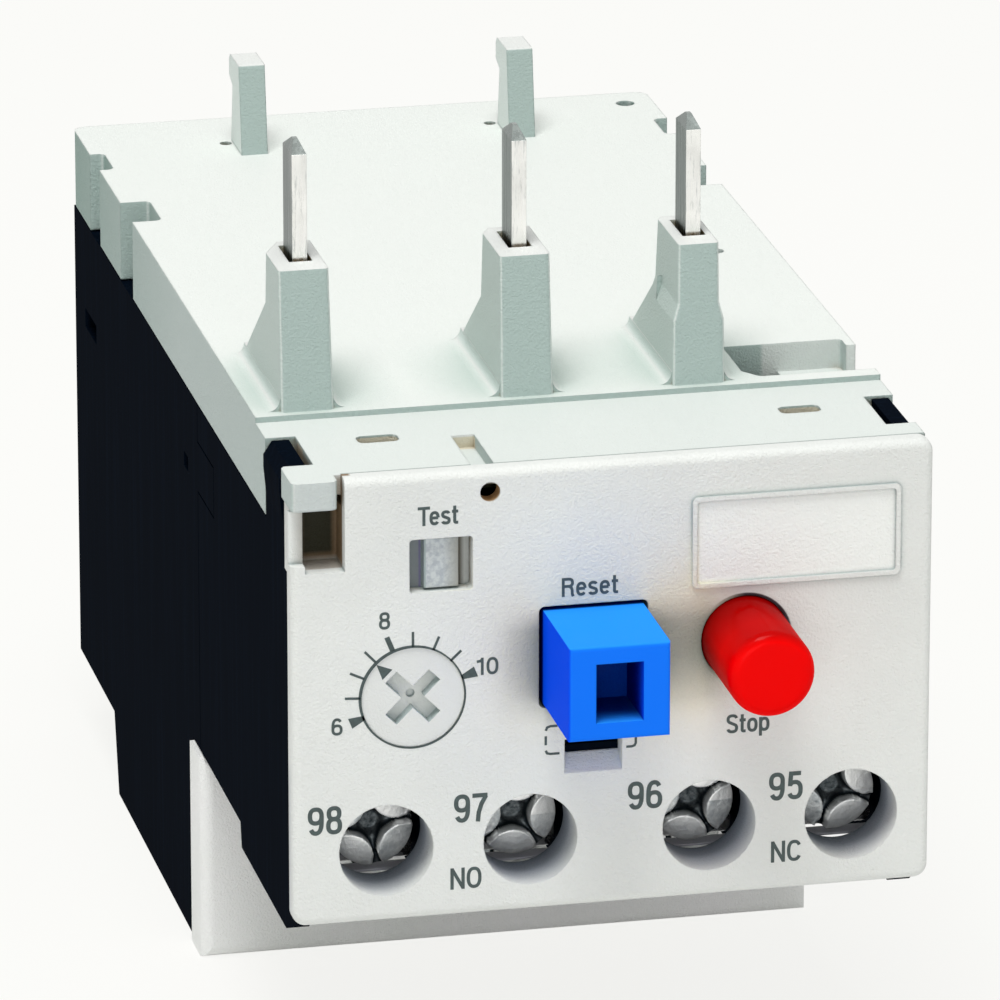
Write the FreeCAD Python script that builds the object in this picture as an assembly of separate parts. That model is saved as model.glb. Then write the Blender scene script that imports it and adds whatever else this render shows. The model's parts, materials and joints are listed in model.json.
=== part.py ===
import FreeCAD, Part
import math
import os

from FreeCAD import Vector

# Thermal overload relay that plugs into a 45 mm contactor.
# Millimetres. X runs across the width, the front plate faces -Y, Z is up.
# While it is drawn, Y = 0 is the face of the front plate and Z = 0 the lowest underside.
# Each piece is then moved so that the origin is the middle of the overall box, on its lowest face.

# ---------------------------------------------------------------- driving dimensions
# Overall form
plate_width = 45.0            # front plate and terminal cover: the width of the frame size
plate_overhang = 0.3          # the plates stand out this far beyond the housings' sides
body_depth = 85.0             # face of the front plate to the back of the top cover
button_proud = 8.0            # reset and stop buttons, in front of the front plate
deck_top = 47.8               # flat top that faces the contactor
deck_step = 0.4               # front strip of the top, lower than the deck
deck_front = 13.6             # where the deck steps down to the front strip
skirt_drop = 5.9              # the skirt of the top cover hangs this far below the deck
split_y = 33.9                # face of the terminal cover, and where the two housings meet
wall = 1.6                    # housing walls
cover_wall = 1.6              # top cover skirt
deck_wall = 1.8               # top cover deck
seam = 0.15                   # visible joint between two mouldings
snug = 0.3                    # general clearance between neighbours
running = 0.06                # radial clearance of anything that turns in a hole

# Flat tongues of the rear housing that lie in the sides of the front housing
side_tongue_z = (35.3, 38.9)
side_tongue_front = 29.4
side_tongue_depth = 0.8

# Undersides
heel_rise = 6.1               # the rear underside above the lowest face
heel_length = 16.2            # from where the lowest face ends to the back
heel_run = 1.6                # length of the slope up to the heel
front_floor = 13.8            # underside of the front block
middle_floor = 15.6           # underside between the front block and the terminal cover
middle_y = 20.4               # where the front block's underside steps up
lip_root = 1.0                # lips of the rear housing inside the top cover's skirt
lip_rise = 2.2
lip_thickness = 1.0
lip_clear = 2.6               # from the skirt's notches
back_inset = 0.2              # rear housing's back wall, in from the top cover's back

# Small recesses in the housing's sides: rear one measured from the back, front one from the terminal cover
rear_recess = (9.1, 4.4)
rear_recess_z = (33.4, 34.9)
front_recess = (5.1, 6.7)
front_recess_z = (35.5, 36.6)
recess_depth = 0.7

# Front plate
plate_bottom = 15.3
plate_top = 47.5
plate_thickness = 1.3
plate_corner = 1.0
plate_edge = 0.6              # rounded front edges
label_right = 2.35            # right end of the label frame, from the plate's edge
label_z = 41.2
label_size = (14.7, 6.6)
label_bead = 0.35
label_proud = 0.2
seal_hole_left = 13.85        # from the plate's left edge
seal_hole_z = 45.9
seal_hole_radius = 0.7
corner_notch_width = 3.75     # receptacle for the top cover's corner cap
corner_notch_drop = 6.55
corner_notch_depth = 2.3
corner_notch_side = 0.3       # the receptacle's side wall, in from the plate's edge
thin_wall = 0.7

# Terminal cover
cover_edge = 0.9              # rounded front edges
flange_depth = 4.0            # the cover's sides reach back over the rear housing
flange_thickness = 1.0

# Controls
dial_left = 8.45              # from the plate's left edge
dial_z = 31.5
dial_radius = 3.6
dial_face = 0.1               # the dial's face, behind the plate's face
dial_flange = 0.8             # the flange behind the plate stands out this far
dial_shaft_radius = 1.5
dial_slot_length = 4.3
dial_slot_width = 1.1
dial_slot_depth = 0.9
dial_dimple = 0.3
dial_cam_radius = 2.3         # eccentric that shifts the trip point
dial_cam_offset = 0.6
dial_cam_y = (8.0, 10.4)
reset_centre = (-1.43, 33.7)
reset_size = (7.05, 6.75)
reset_socket = (3.3, 4.25)
reset_socket_depth = 5.0
reset_gap = 0.3
stop_centre = (9.25, 34.0)
stop_radius = 3.05
stop_edge = 0.8
button_travel = 2.8
button_flange = 0.75
button_flange_thickness = 1.4
button_spring_solid = 2.7     # length of a button's spring when it is pressed home
sleeve_wall = 0.8             # guide sleeves behind the front plate
plunger_radius = 1.2
reset_slot_centre_x = -1.42
reset_slot_width = 4.05
reset_slot_bottom = 25.05
reset_slot_ramp_top = 26.3
reset_slot_top = 27.6
test_left = 10.43             # from the plate's left edge
test_z = 40.93
test_window = (4.4, 3.85)
test_knob_height = 3.5
test_knob_gap = 0.2
test_plate = (7.6, 5.6)
test_plate_thickness = 1.2
test_travel = 0.8

# Auxiliary terminals, left to right: 98, 97, 96, 95
aux_names = ("98", "97", "96", "95")
aux_edge = (6.55, 5.61)       # outer terminals, from the plate's left and right edges
aux_inner_x = (-5.83, 6.8)
aux_z = 20.5
aux_hole_radius = 3.3
aux_head_y = 4.7              # screw heads behind the plate's face
aux_head_radius = 2.9
aux_head_height = 2.2
aux_shank_radius = 1.75
aux_shank_length = 6.2
aux_washer_size = 6.4
aux_washer_thickness = 1.0
aux_plate_thickness = 1.2
aux_plate_width = 3.0
aux_nut_radius = 2.8
aux_nut_length = 2.0
aux_chamber_width = 7.2
aux_chamber_top = 24.6
chamber_sill = 1.0            # floor of the chambers in front of the wire entries
aux_turns = 4.0
aux_pitch = 0.6
aux_tube_gap = 0.1            # between a raised washer and the tube in front of it

# Main terminals, left to right: phases 1, 2, 3
main_pitch = 12.3
main_z = 8.0
main_hole_radius = 3.75
main_head_radius = 3.4
main_head_height = 2.4
main_head_y = 36.0
main_shank_radius = 2.0
main_pitch_thread = 0.7
main_turns = 4.0
cage_width = 8.2
cage_height = 6.8
cage_side_wall = 1.1
cage_front_wall = 2.0
cage_back_wall = 1.2
bar_thickness = 1.5
cage_gap = 1.0                # between a screw's head and its cage
tongue_width = 5.2
chamber_width = 9.4
chamber_top = 14.0

# Line pins and their posts, left to right: phases 1, 2, 3
pin_edge = (4.4, 12.7)        # outer pins, from the plate's left and right edges
pin_middle_x = -2.6
pin_thickness = 1.05
pin_width = 3.1
pin_y = 18.2                  # front edge of a pin
pin_top = 65.85
pin_tip_height = 0.8          # pointed tips
pin_tip_run = 1.3
pin_tip_bevel = 0.4
pin_rail_z = 42.4             # underside of the strip that runs back under the deck
pin_rail_height = 3.0
pin_drop_y = 63.0             # front edge of the leg that goes down to the heater
pin_drop_end = 30.0
post_top = 57.5
post_base_shift = (-0.3, -0.3, -0.5)  # middle of a post at its foot and at its top, from the pin
post_top_shift = (-0.2, -0.1, -0.15)
post_base_width = 3.75
post_top_width = 3.55
post_step = (0.0, 0.0, 0.33)  # the third post is narrower above a shoulder
post_shoulder = (52.2, 53.4)
post_front = 14.0
post_lean = 1.8               # the front face leans back
post_back = 22.6
post_round = 0.3
gusset_top = 54.0
gusset_run = 5.0
gusset_toe = 0.2              # the gusset's slope ends this far above the deck
post_chamfer = (1.2, 0.6, 0.0)
post_cove = 0.9
post_slot = (1.65, 3.9)

# Hooks that catch the contactor
hook_x = (-10.15, 10.35)
hook_width = 2.0
hook_back = 6.0               # from the hooks to the back
hook_depth = 4.2
hook_rise = 6.7
hook_barb = 1.3
hook_barb_height = 2.2

# Small holes and slots in the deck; a hole has its side, distance from that side, from the back, and radius
strip_slot_edge = (7.8, 7.4)  # middle of each slot, from the plate's left and right edges
strip_slot_y = 8.5
strip_slot_size = (2.9, 1.5)
deck_holes = ((-1, 10.5, 6.6, 0.45), (1, 13.4, 5.7, 0.45), (1, 4.4, 40.9, 0.6), (1, 2.2, 2.8, 0.7))
channel_offset = 0.2          # seal wire channel, beside the seal hole
channel_width = 1.6
channel_back = 8.0
channel_depth = 0.9
cap_height = 2.0              # corner cap that sits in the front plate's notch
cap_gap = 0.45
cap_round = 0.5

# Notches in the skirt: distances of their front and back ends from the back of the cover, and depths
skirt_notches = ((24.8, 19.9, 2.2), (11.4, 7.3, 1.1))
notch_wall = 0.9              # the skirt is thinner behind its notches
notch_round = 0.5
cover_corner = 1.0

# Snap lugs of the front housing, and the cut-outs of the top that they show in
lug_front = 4.0
lug_back = 10.2
lug_cut_width = 2.1
lug_drop = 0.1
lug_proud = 0.2
lug_bevel = (0.6, 0.9)

# Pocket at the right front of the deck
pocket_width = 9.3            # from the housing's right side
pocket_front = 15.0
pocket_back = 22.0
pocket_depth = 2.1
pocket_hole_width = 4.0
pocket_wall = 0.7             # wall that closes the pocket's rear part at the right
pocket_step = 1.45

# Bimetals, heaters and the trip linkage
bimetal_offset = 2.0          # bimetals stand beside the pins' legs
bimetal_thickness = 0.8
bimetal_width = 5.0
bimetal_y = 56.0
bimetal_top = 40.5
foot_gap = 0.05               # under anything that bends from its foot
heater_bottom = 17.0
heater_turns = 5
heater_pitch = 3.24
heater_turn_height = 1.6
heater_thickness = 3.5
heater_width = 7.6
heater_sleeve = 0.35
slide_thickness = 1.2
slide_z = (36.0, 37.5)        # phase-failure slide below, overload slide above
slide_front = 53.6
slide_back = 62.4
slide_clear = 1.3             # from the left wall
slide_slot_gap = 0.7          # the slots are longer than the bimetals are wide
trip_travel = 1.2
phase_lag = 1.0
lever_gap = 0.3
differential_y = 56.0
differential_arm = 4.0
differential_pin = 0.6
differential_nose = 0.9
differential_thickness = 1.2
differential_width = 1.8
differential_slot = (1.5, 2.0)
differential_swing = (1.25, 0.25)  # the overload slide's slot is this much wider at each end
differential_side = 2.7       # from the trip lever's pivot
slide_end = 1.1               # the slides end this far beyond the differential lever
partition_thickness = 1.2
lever_side = 3.0              # from the right wall to the trip lever's pivot
lever_y = 32.5
lever_hub = 2.1
lever_pin_radius = 0.9
lever_z = 39.0
lever_thickness = 1.5
lever_arm_width = 1.1
shelf_top = 36.4

# Contacts
bulkhead_y = 14.0
bulkhead_thickness = 1.4
chamber_roof = 2.1
contact_y = 20.2
contact_z = 35.5
contact_top = 37.0
rivet_radius = 1.0
leaf_thickness = 0.3
leaf_width = 2.6
leaf_y = 18.6
leaf_top = 40.4
leaf_x = (-7.0, 7.4)          # normally open leaf, normally closed leaf
open_gap = 0.88
closed_gap = 0.05
carrier_z = (37.2, 40.8)
carrier_left = -11.0
carrier_side = 1.3            # right end, from the trip lever's pivot
carrier_thickness = 2.0
ledge_x = (-9.6, 12.2)        # ledges under the carrier
ledge_width = 2.0
ledge_height = 1.2
peg_length = 3.8
peg_width = 1.0
peg_z = (38.4, 40.0)
spigot_radius = 0.55
spigot_length = 1.2
spring_wire = 0.36

# ---------------------------------------------------------------- worked out from these
half_plate = plate_width / 2
half_shell = half_plate - plate_overhang
inner_half = half_shell - wall
skirt_bottom = deck_top - skirt_drop
strip_top = deck_top - deck_step
deck_under = deck_top - deck_wall
housing_back = body_depth - back_inset
heel_y = body_depth - heel_length
hook_front = body_depth - hook_back - hook_depth
label_centre = (half_plate - label_right - label_size[0] / 2, label_z)
dial_centre = (dial_left - half_plate, dial_z)
test_centre = (test_left - half_plate, test_z)
seal_hole_x = seal_hole_left - half_plate
strip_slot_x = (strip_slot_edge[0] - half_plate, half_plate - strip_slot_edge[1])
aux_x = (aux_edge[0] - half_plate, aux_inner_x[0], aux_inner_x[1], half_plate - aux_edge[1])
main_x = (-main_pitch, 0.0, main_pitch)
pin_x = (pin_edge[0] - half_plate, pin_middle_x, half_plate - pin_edge[1])
pocket_left = half_shell - pocket_width
lever_pivot = (inner_half - lever_side, lever_y)
carrier_right = lever_pivot[0] - carrier_side
differential_x = lever_pivot[0] - differential_side
slide_left = slide_clear - inner_half
slide_right = differential_x + slide_end
main_thread = main_turns * main_pitch_thread
bar_y = main_head_y + main_head_height + cage_gap + cage_front_wall + main_thread + snug
bimetal_x = tuple(x + bimetal_offset for x in pin_x)
bimetal_foot_z = chamber_top - snug + foot_gap
cover_face_back = split_y + plate_thickness + 0.2
chamber_back = bar_y + 6.6
bulkhead_back = bulkhead_y + bulkhead_thickness
sleeve_depth = bulkhead_y - button_spring_solid - button_travel - button_flange_thickness - snug
test_knob = (test_window[0] - 2 * test_travel - 2 * test_knob_gap, test_knob_height)
washer_y = aux_head_y + aux_head_height
aux_tube_end = washer_y - aux_turns * aux_pitch - aux_tube_gap
leaf_foot_z = aux_chamber_top - snug + foot_gap
aux_plate_y = washer_y + aux_washer_thickness + snug
middle_y_of_box = (body_depth - button_proud) / 2


# ---------------------------------------------------------------- drawing helpers
def block(x_limits, y_limits, z_limits):
    """A box between three pairs of limits."""
    corner = Vector(x_limits[0], y_limits[0], z_limits[0])
    size = [pair[1] - pair[0] for pair in (x_limits, y_limits, z_limits)]
    return Part.makeBox(size[0], size[1], size[2], corner)


def around(centre, size):
    """The limits of a length that lies centred on a place."""
    return (centre - size / 2, centre + size / 2)


def rod(radius, centre, start, end, axis="y"):
    """A cylinder along an axis; centre gives the other two coordinates in order."""
    places = {
        "x": (Vector(start, centre[0], centre[1]), Vector(1, 0, 0)),
        "y": (Vector(centre[0], start, centre[1]), Vector(0, 1, 0)),
        "z": (Vector(centre[0], centre[1], start), Vector(0, 0, 1)),
    }
    base, direction = places[axis]
    return Part.makeCylinder(radius, end - start, base, direction)


def outline(corners, place):
    """A closed wire through (u, v) or (u, v, radius) corners; place turns u, v into a point."""
    joints = []
    for number, corner in enumerate(corners):
        here = Vector(corner[0], corner[1], 0)
        before = Vector(corners[number - 1][0], corners[number - 1][1], 0)
        following = corners[(number + 1) % len(corners)]
        after = Vector(following[0], following[1], 0)
        to_before = (before - here).normalize()
        to_after = (after - here).normalize()
        radius = corner[2] if len(corner) > 2 else 0.0
        if radius == 0.0:
            joints.append((here, None, here))
            continue
        half_angle = to_before.getAngle(to_after) / 2
        reach = radius / math.tan(half_angle)
        inward = (to_before + to_after).normalize()
        middle = here + inward * (radius / math.sin(half_angle) - radius)
        joints.append((here + to_before * reach, middle, here + to_after * reach))
    edges = []
    for number, (start, middle, end) in enumerate(joints):
        if middle is not None:
            arc = Part.Arc(place(start.x, start.y), place(middle.x, middle.y), place(end.x, end.y))
            edges.append(arc.toShape())
        next_start = joints[(number + 1) % len(joints)][0]
        if end.distanceToPoint(next_start) > 1e-6:
            edges.append(Part.makeLine(place(end.x, end.y), place(next_start.x, next_start.y)))
    return Part.Wire(edges)


def prism(corners, axis, start, end):
    """An outline pushed along an axis: (y, z) along x, (x, z) along y, (x, y) along z."""
    places = {
        "x": (lambda u, v: Vector(start, u, v), Vector(end - start, 0, 0)),
        "y": (lambda u, v: Vector(u, start, v), Vector(0, end - start, 0)),
        "z": (lambda u, v: Vector(u, v, start), Vector(0, 0, end - start)),
    }
    place, push = places[axis]
    return Part.Face(outline(corners, place)).extrude(push)


def rectangle(u_limits, v_limits, radius=0.0):
    """The corners of an upright rectangle, all with one radius."""
    return [
        (u_limits[0], v_limits[0], radius),
        (u_limits[1], v_limits[0], radius),
        (u_limits[1], v_limits[1], radius),
        (u_limits[0], v_limits[1], radius),
    ]


def joined(shapes):
    """One solid from touching or overlapping shapes."""
    first = shapes[0]
    return first.fuse(shapes[1:]).removeSplitter()


def round_front_edges(shape, face_y, radius):
    """Round the outer edges of the face at face_y."""
    outer = max(
        (face for face in shape.Faces if abs(face.CenterOfMass.y - face_y) < 1e-6),
        key=lambda face: face.Area,
    )
    return shape.makeFillet(radius, outer.OuterWire.Edges)


def coil(radius, wire_size, turns, axis, centre, start, end):
    """A square-wire compression spring along an axis between start and end, resting inside both."""
    height = end - start - wire_size
    path = Part.makeHelix(height / turns, height, radius)
    section = rectangle(around(radius, wire_size), around(0, wire_size))
    ring = outline(section, lambda u, v: Vector(u, 0, v))
    spring = Part.Wire(path).makePipeShell([ring], True, True)
    spring.translate(Vector(0, 0, wire_size / 2))
    if axis == "y":
        spring.rotate(Vector(0, 0, 0), Vector(1, 0, 0), -90)
        spring.translate(Vector(centre[0], start, centre[1]))
    if axis == "x":
        spring.rotate(Vector(0, 0, 0), Vector(0, 1, 0), 90)
        spring.translate(Vector(start, centre[0], centre[1]))
    return spring


def save(name, shape):
    """Write one piece, moved to the part's own origin."""
    piece = shape.copy()
    piece.translate(Vector(0, -middle_y_of_box, 0))
    if len(piece.Solids) == 1:
        piece = piece.Solids[0]
    piece.exportStep(f"parts/{name}.step")


# ---------------------------------------------------------------- top cover
def cover_plan(inset):
    """Plan of the top cover with its notches, drawn in by an inset."""
    half = half_shell - inset
    notch_inset = min(inset, notch_wall)
    right = [(half, lug_back + inset)]
    for to_front, to_back, depth in skirt_notches:
        front, back = body_depth - to_front, body_depth - to_back
        inner = half_shell - depth - notch_inset
        right += [(half, front - notch_inset), (inner, front - notch_inset, notch_round)]
        right += [(inner, back + notch_inset, notch_round), (half, back + notch_inset)]
    corner = max(cover_corner - inset, 0.3)
    right.append((half, body_depth - inset, corner))
    left = [(-corner[0],) + tuple(corner[1:]) for corner in reversed(right)]
    return right + left


def post_limits(number, height):
    """Side limits and front of a post at some height, before its shoulder is taken off."""
    foot = deck_under + 0.5
    share = (height - foot) / (post_top - foot)
    shift = post_base_shift[number] + share * (post_top_shift[number] - post_base_shift[number])
    width = post_base_width + share * (post_top_width - post_base_width)
    return around(pin_x[number] + shift, width), post_front + share * post_lean


def post(number):
    """A hollow post with a rear gusset that guides one line pin."""
    foot = deck_under + 0.5
    chamfer = max(post_chamfer[number], post_round)
    heights = [(foot, 0.0), (post_top, 0.0)]
    if post_step[number]:
        heights = [(foot, 0.0), (post_shoulder[0], 0.0),
                   (post_shoulder[1], post_step[number]), (post_top, post_step[number])]
    levels = []
    for height, step in heights:
        x_limits, front = post_limits(number, height)
        corners = [
            (x_limits[0] + step, front, post_round),
            (x_limits[1] - step, front, post_round),
            (x_limits[1] - step, post_back, post_round),
            (x_limits[0] + step + chamfer, post_back),
            (x_limits[0] + step, post_back - 2 * chamfer),
        ]
        levels.append(outline(corners, lambda u, v, z=height: Vector(u, v, z)))
    tower = Part.makeLoft(levels, True, True)
    gusset_end = post_back + gusset_run
    gusset_front = post_back - 2.5
    gusset_side = [
        (gusset_front, foot),
        (gusset_end, foot),
        (gusset_end, deck_top + gusset_toe),
        (gusset_front, gusset_top),
    ]
    sides = []
    for height in (foot, post_top):
        x_limits = post_limits(number, height)[0]
        sides.append(outline(rectangle(x_limits, (post_front, gusset_end + 1)),
                             lambda u, v, z=height: Vector(u, v, z)))
    gusset = prism(gusset_side, "x", -half_plate, half_plate).common(Part.makeLoft(sides, True, True))
    base_x = post_limits(number, deck_top)[0]
    coves = [cove(base_x[0], -1, gusset_end), cove(base_x[1], 1, gusset_end)]
    return joined([tower, gusset] + coves)


def cove(x, side, back):
    """Hollow moulding between the deck and one side of a post."""
    corners = [(x - side * post_round, deck_top - 0.2), (x + side * post_cove, deck_top - 0.2),
               (x + side * post_cove, deck_top), (x, deck_top + post_cove),
               (x - side * post_round, deck_top + post_cove)]
    strip = prism(corners, "y", post_front + 2 * post_round, back)
    return strip.cut(rod(post_cove, (x + side * post_cove, deck_top + post_cove), 0, body_depth))


def hook(x):
    """A catch with a barb that points back."""
    back = hook_front + hook_depth
    top = deck_top + hook_rise
    barb_low = top - hook_barb_height
    corners = [
        (hook_front, deck_under + 0.5),
        (back + 0.3, deck_under + 0.5),
        (back - 0.6, barb_low),
        (back - 0.6 + hook_barb, barb_low + 0.5),
        (back - 0.6 + hook_barb, top - 0.5),
        (back - 1.0 + hook_barb, top, 0.2),
        (hook_front + 1.2, top, 0.2),
    ]
    return prism(corners, "x", x - hook_width / 2, x + hook_width / 2)


def make_top_cover():
    """Deck, skirt, front strip with its corner cap, posts and hooks in one moulding."""
    skirt = prism(cover_plan(0.0), "z", skirt_bottom, deck_top)
    cavity = prism(cover_plan(cover_wall), "z", skirt_bottom - 1, deck_under)
    mouth = block((-half_shell + cover_wall, half_shell - cover_wall), (0, lug_back + 2 * cover_wall),
                  (skirt_bottom - 1, deck_under))
    shell = skirt.cut([cavity, mouth])
    strip_front = plate_thickness + seam
    strip = block((-half_shell, half_shell), (strip_front, lug_back + 0.5), (deck_under, strip_top))
    cap_x = (-half_plate + 0.1, -half_plate + corner_notch_width - cap_gap)
    cap_corners = rectangle(cap_x, (0, lug_front), cap_round)
    cap = prism(cap_corners, "z", strip_top - cap_height, strip_top)
    pad = block((pocket_left - 0.8, half_shell - 0.5), (pocket_front - 0.8, pocket_back + 1.4),
                (deck_under - 1.2, deck_under + 0.2))
    body = joined([shell, strip, cap, pad])
    cuts = [block((-half_shell - 1, half_shell + 1), (0, deck_front), (strip_top, deck_top + 1))]
    for side in (-1, 1):
        x = side * (half_shell - lug_cut_width / 2 + 0.5)
        cuts.append(block(around(x, lug_cut_width + 1), (lug_front, lug_back), (0, deck_top)))
    pocket = [
        (pocket_left, pocket_back, 0.4),
        (pocket_left, pocket_front + 1.4),
        (pocket_left + 1.0, pocket_front, 0.6),
        (half_shell + 1, pocket_front),
        (half_shell + 1, pocket_back - pocket_step),
        (half_shell - pocket_wall, pocket_back - pocket_step),
        (half_shell - pocket_wall, pocket_back, 0.4),
    ]
    cuts.append(prism(pocket, "z", deck_top - pocket_depth, deck_top + 1))
    cuts.append(block((pocket_left, pocket_left + pocket_hole_width), (pocket_front + 1.4, pocket_back),
                      (skirt_bottom, deck_top)))
    for x in strip_slot_x:
        slot_corners = rectangle(around(x, strip_slot_size[0]), around(strip_slot_y, strip_slot_size[1]), 0.5)
        cuts.append(prism(slot_corners, "z", deck_under - 1, deck_top))
    channel_x = around(seal_hole_x - channel_offset, channel_width)
    cuts.append(block(channel_x, (plate_thickness, channel_back), (strip_top - channel_depth, deck_top)))
    for side, inset, to_back, radius in deck_holes:
        place = (side * (half_shell - inset), body_depth - to_back)
        cuts.append(rod(radius, place, deck_under - 1, deck_top + 1, "z"))
    body = body.cut(cuts)
    body = joined([body] + [post(number) for number in range(3)] + [hook(x) for x in hook_x])
    slots = []
    for number, x in enumerate(pin_x):
        slot_y = around(pin_y + pin_width / 2, post_slot[1])
        slots.append(block(around(x, post_slot[0]), slot_y, (deck_under - 1, post_top + 1)))
    return body.cut(slots)


# ---------------------------------------------------------------- front plate
def make_front_plate():
    """Face with the label frame, windows, button guides and terminal tubes."""
    sheet_corners = rectangle((-half_plate, half_plate), (plate_bottom, plate_top), plate_corner)
    plate = prism(sheet_corners, "y", 0, plate_thickness)
    plate = round_front_edges(plate, 0, plate_edge)
    notch_x = (-half_plate, -half_plate + corner_notch_width)
    notch_z = (plate_top - corner_notch_drop, plate_top)
    pocket_outer = block((notch_x[0] + corner_notch_side, notch_x[1] + thin_wall),
                         (plate_thickness - 0.5, plate_thickness + corner_notch_depth),
                         (notch_z[0] - thin_wall, plate_top - corner_notch_depth))
    outer_x, outer_z = around(label_centre[0], label_size[0]), around(label_centre[1], label_size[1])
    inner_x = (outer_x[0] + label_bead, outer_x[1] - label_bead)
    inner_z = (outer_z[0] + label_bead, outer_z[1] - label_bead)
    rim = prism(rectangle(outer_x, outer_z, 0.4), "y", -label_proud, 0.5)
    rim = rim.cut(prism(rectangle(inner_x, inner_z, 0.2), "y", -1, 0))
    adds = [plate, pocket_outer, rim]
    reset_opening = [size + 2 * reset_gap for size in reset_size]
    reset_outer = [size + 2 * sleeve_wall for size in reset_opening]
    adds.append(block(around(reset_centre[0], reset_outer[0]), (plate_thickness - 0.2, sleeve_depth),
                      around(reset_centre[1], reset_outer[1])))
    stop_hole = stop_radius + running
    adds.append(rod(stop_hole + sleeve_wall, stop_centre, plate_thickness - 0.2, sleeve_depth))
    for x in aux_x:
        adds.append(rod(aux_hole_radius + thin_wall, (x, aux_z), plate_thickness - 0.2, aux_tube_end))
    rail_z = test_plate[1] / 2 + 0.1
    for side in (-1, 1):
        z_limits = sorted((test_centre[1] + side * rail_z, test_centre[1] + side * (rail_z + 0.8)))
        adds.append(block(around(test_centre[0], test_plate[0]), (plate_thickness - 0.2, 2.9), z_limits))
    body = joined(adds)
    pocket_inner = block((notch_x[0] + corner_notch_side + thin_wall, notch_x[1]),
                         (-1, plate_thickness + corner_notch_depth - thin_wall), (notch_z[0], plate_top + 1))
    cuts = [pocket_inner]
    cuts.append(block((notch_x[0] - 1, notch_x[1]), (-1, 0.9), (notch_z[0] + 0.5, plate_top + 1)))
    cuts.append(block((notch_x[0] - 1, notch_x[1]), (-1, plate_thickness + 1),
                      (plate_top - corner_notch_depth, plate_top + 1)))
    cuts.append(prism(rectangle(around(reset_centre[0], reset_opening[0]),
                                around(reset_centre[1], reset_opening[1]), 0.4), "y", -1, sleeve_depth + 1))
    cuts.append(rod(stop_hole, stop_centre, -1, sleeve_depth + 1))
    cuts.append(rod(dial_radius + running, dial_centre, -1, plate_thickness + 1))
    cuts.append(rod(seal_hole_radius, (seal_hole_x, seal_hole_z), -1, plate_thickness + 1))
    for x in aux_x:
        cuts.append(rod(aux_hole_radius, (x, aux_z), -1, aux_head_y))
    window_x, window_z = around(test_centre[0], test_window[0]), around(test_centre[1], test_window[1])
    cuts.append(prism(rectangle(window_x, window_z, 0.25), "y", -1, plate_thickness + 0.4))
    ramp = [
        (-0.1, reset_slot_bottom),
        (plate_thickness + 0.1, reset_slot_ramp_top),
        (plate_thickness + 0.1, reset_slot_top),
        (-0.1, reset_slot_top),
    ]
    slot_x = around(reset_slot_centre_x, reset_slot_width)
    cuts.append(prism(ramp, "x", slot_x[0], slot_x[1]))
    return body.cut(cuts)


# ---------------------------------------------------------------- terminal cover
def make_terminal_cover():
    """Lower front panel with side flanges, three screw holes and their tubes."""
    z_limits = (0.0, middle_floor - seam)
    panel = block((-half_plate, half_plate), (split_y, split_y + flange_depth), z_limits)
    panel = round_front_edges(panel, split_y, cover_edge)
    flange_x = half_plate - flange_thickness
    panel = panel.cut(block((-flange_x, flange_x), (cover_face_back - seam, split_y + flange_depth + 1),
                            (z_limits[0] - 1, z_limits[1] + 1)))
    tubes = []
    holes = []
    for x in main_x:
        tubes.append(rod(main_hole_radius + thin_wall, (x, main_z), cover_face_back - 0.4, main_head_y + 2.0))
        holes.append(rod(main_hole_radius, (x, main_z), split_y - 1, main_head_y + 3.0))
    return joined([panel] + tubes).cut(holes)


# ---------------------------------------------------------------- housings
def side_tongue(clearance):
    """Flat tongues of the rear housing that lie in the sides of the front housing."""
    tongues = []
    outer = half_shell + clearance
    for side in (-1, 1):
        x_limits = sorted((side * (outer - side_tongue_depth - 2 * clearance), side * outer))
        tongues.append(block(x_limits, (side_tongue_front - clearance, cover_face_back + 0.5),
                             (side_tongue_z[0] - clearance, side_tongue_z[1] + clearance)))
    return tongues


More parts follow.
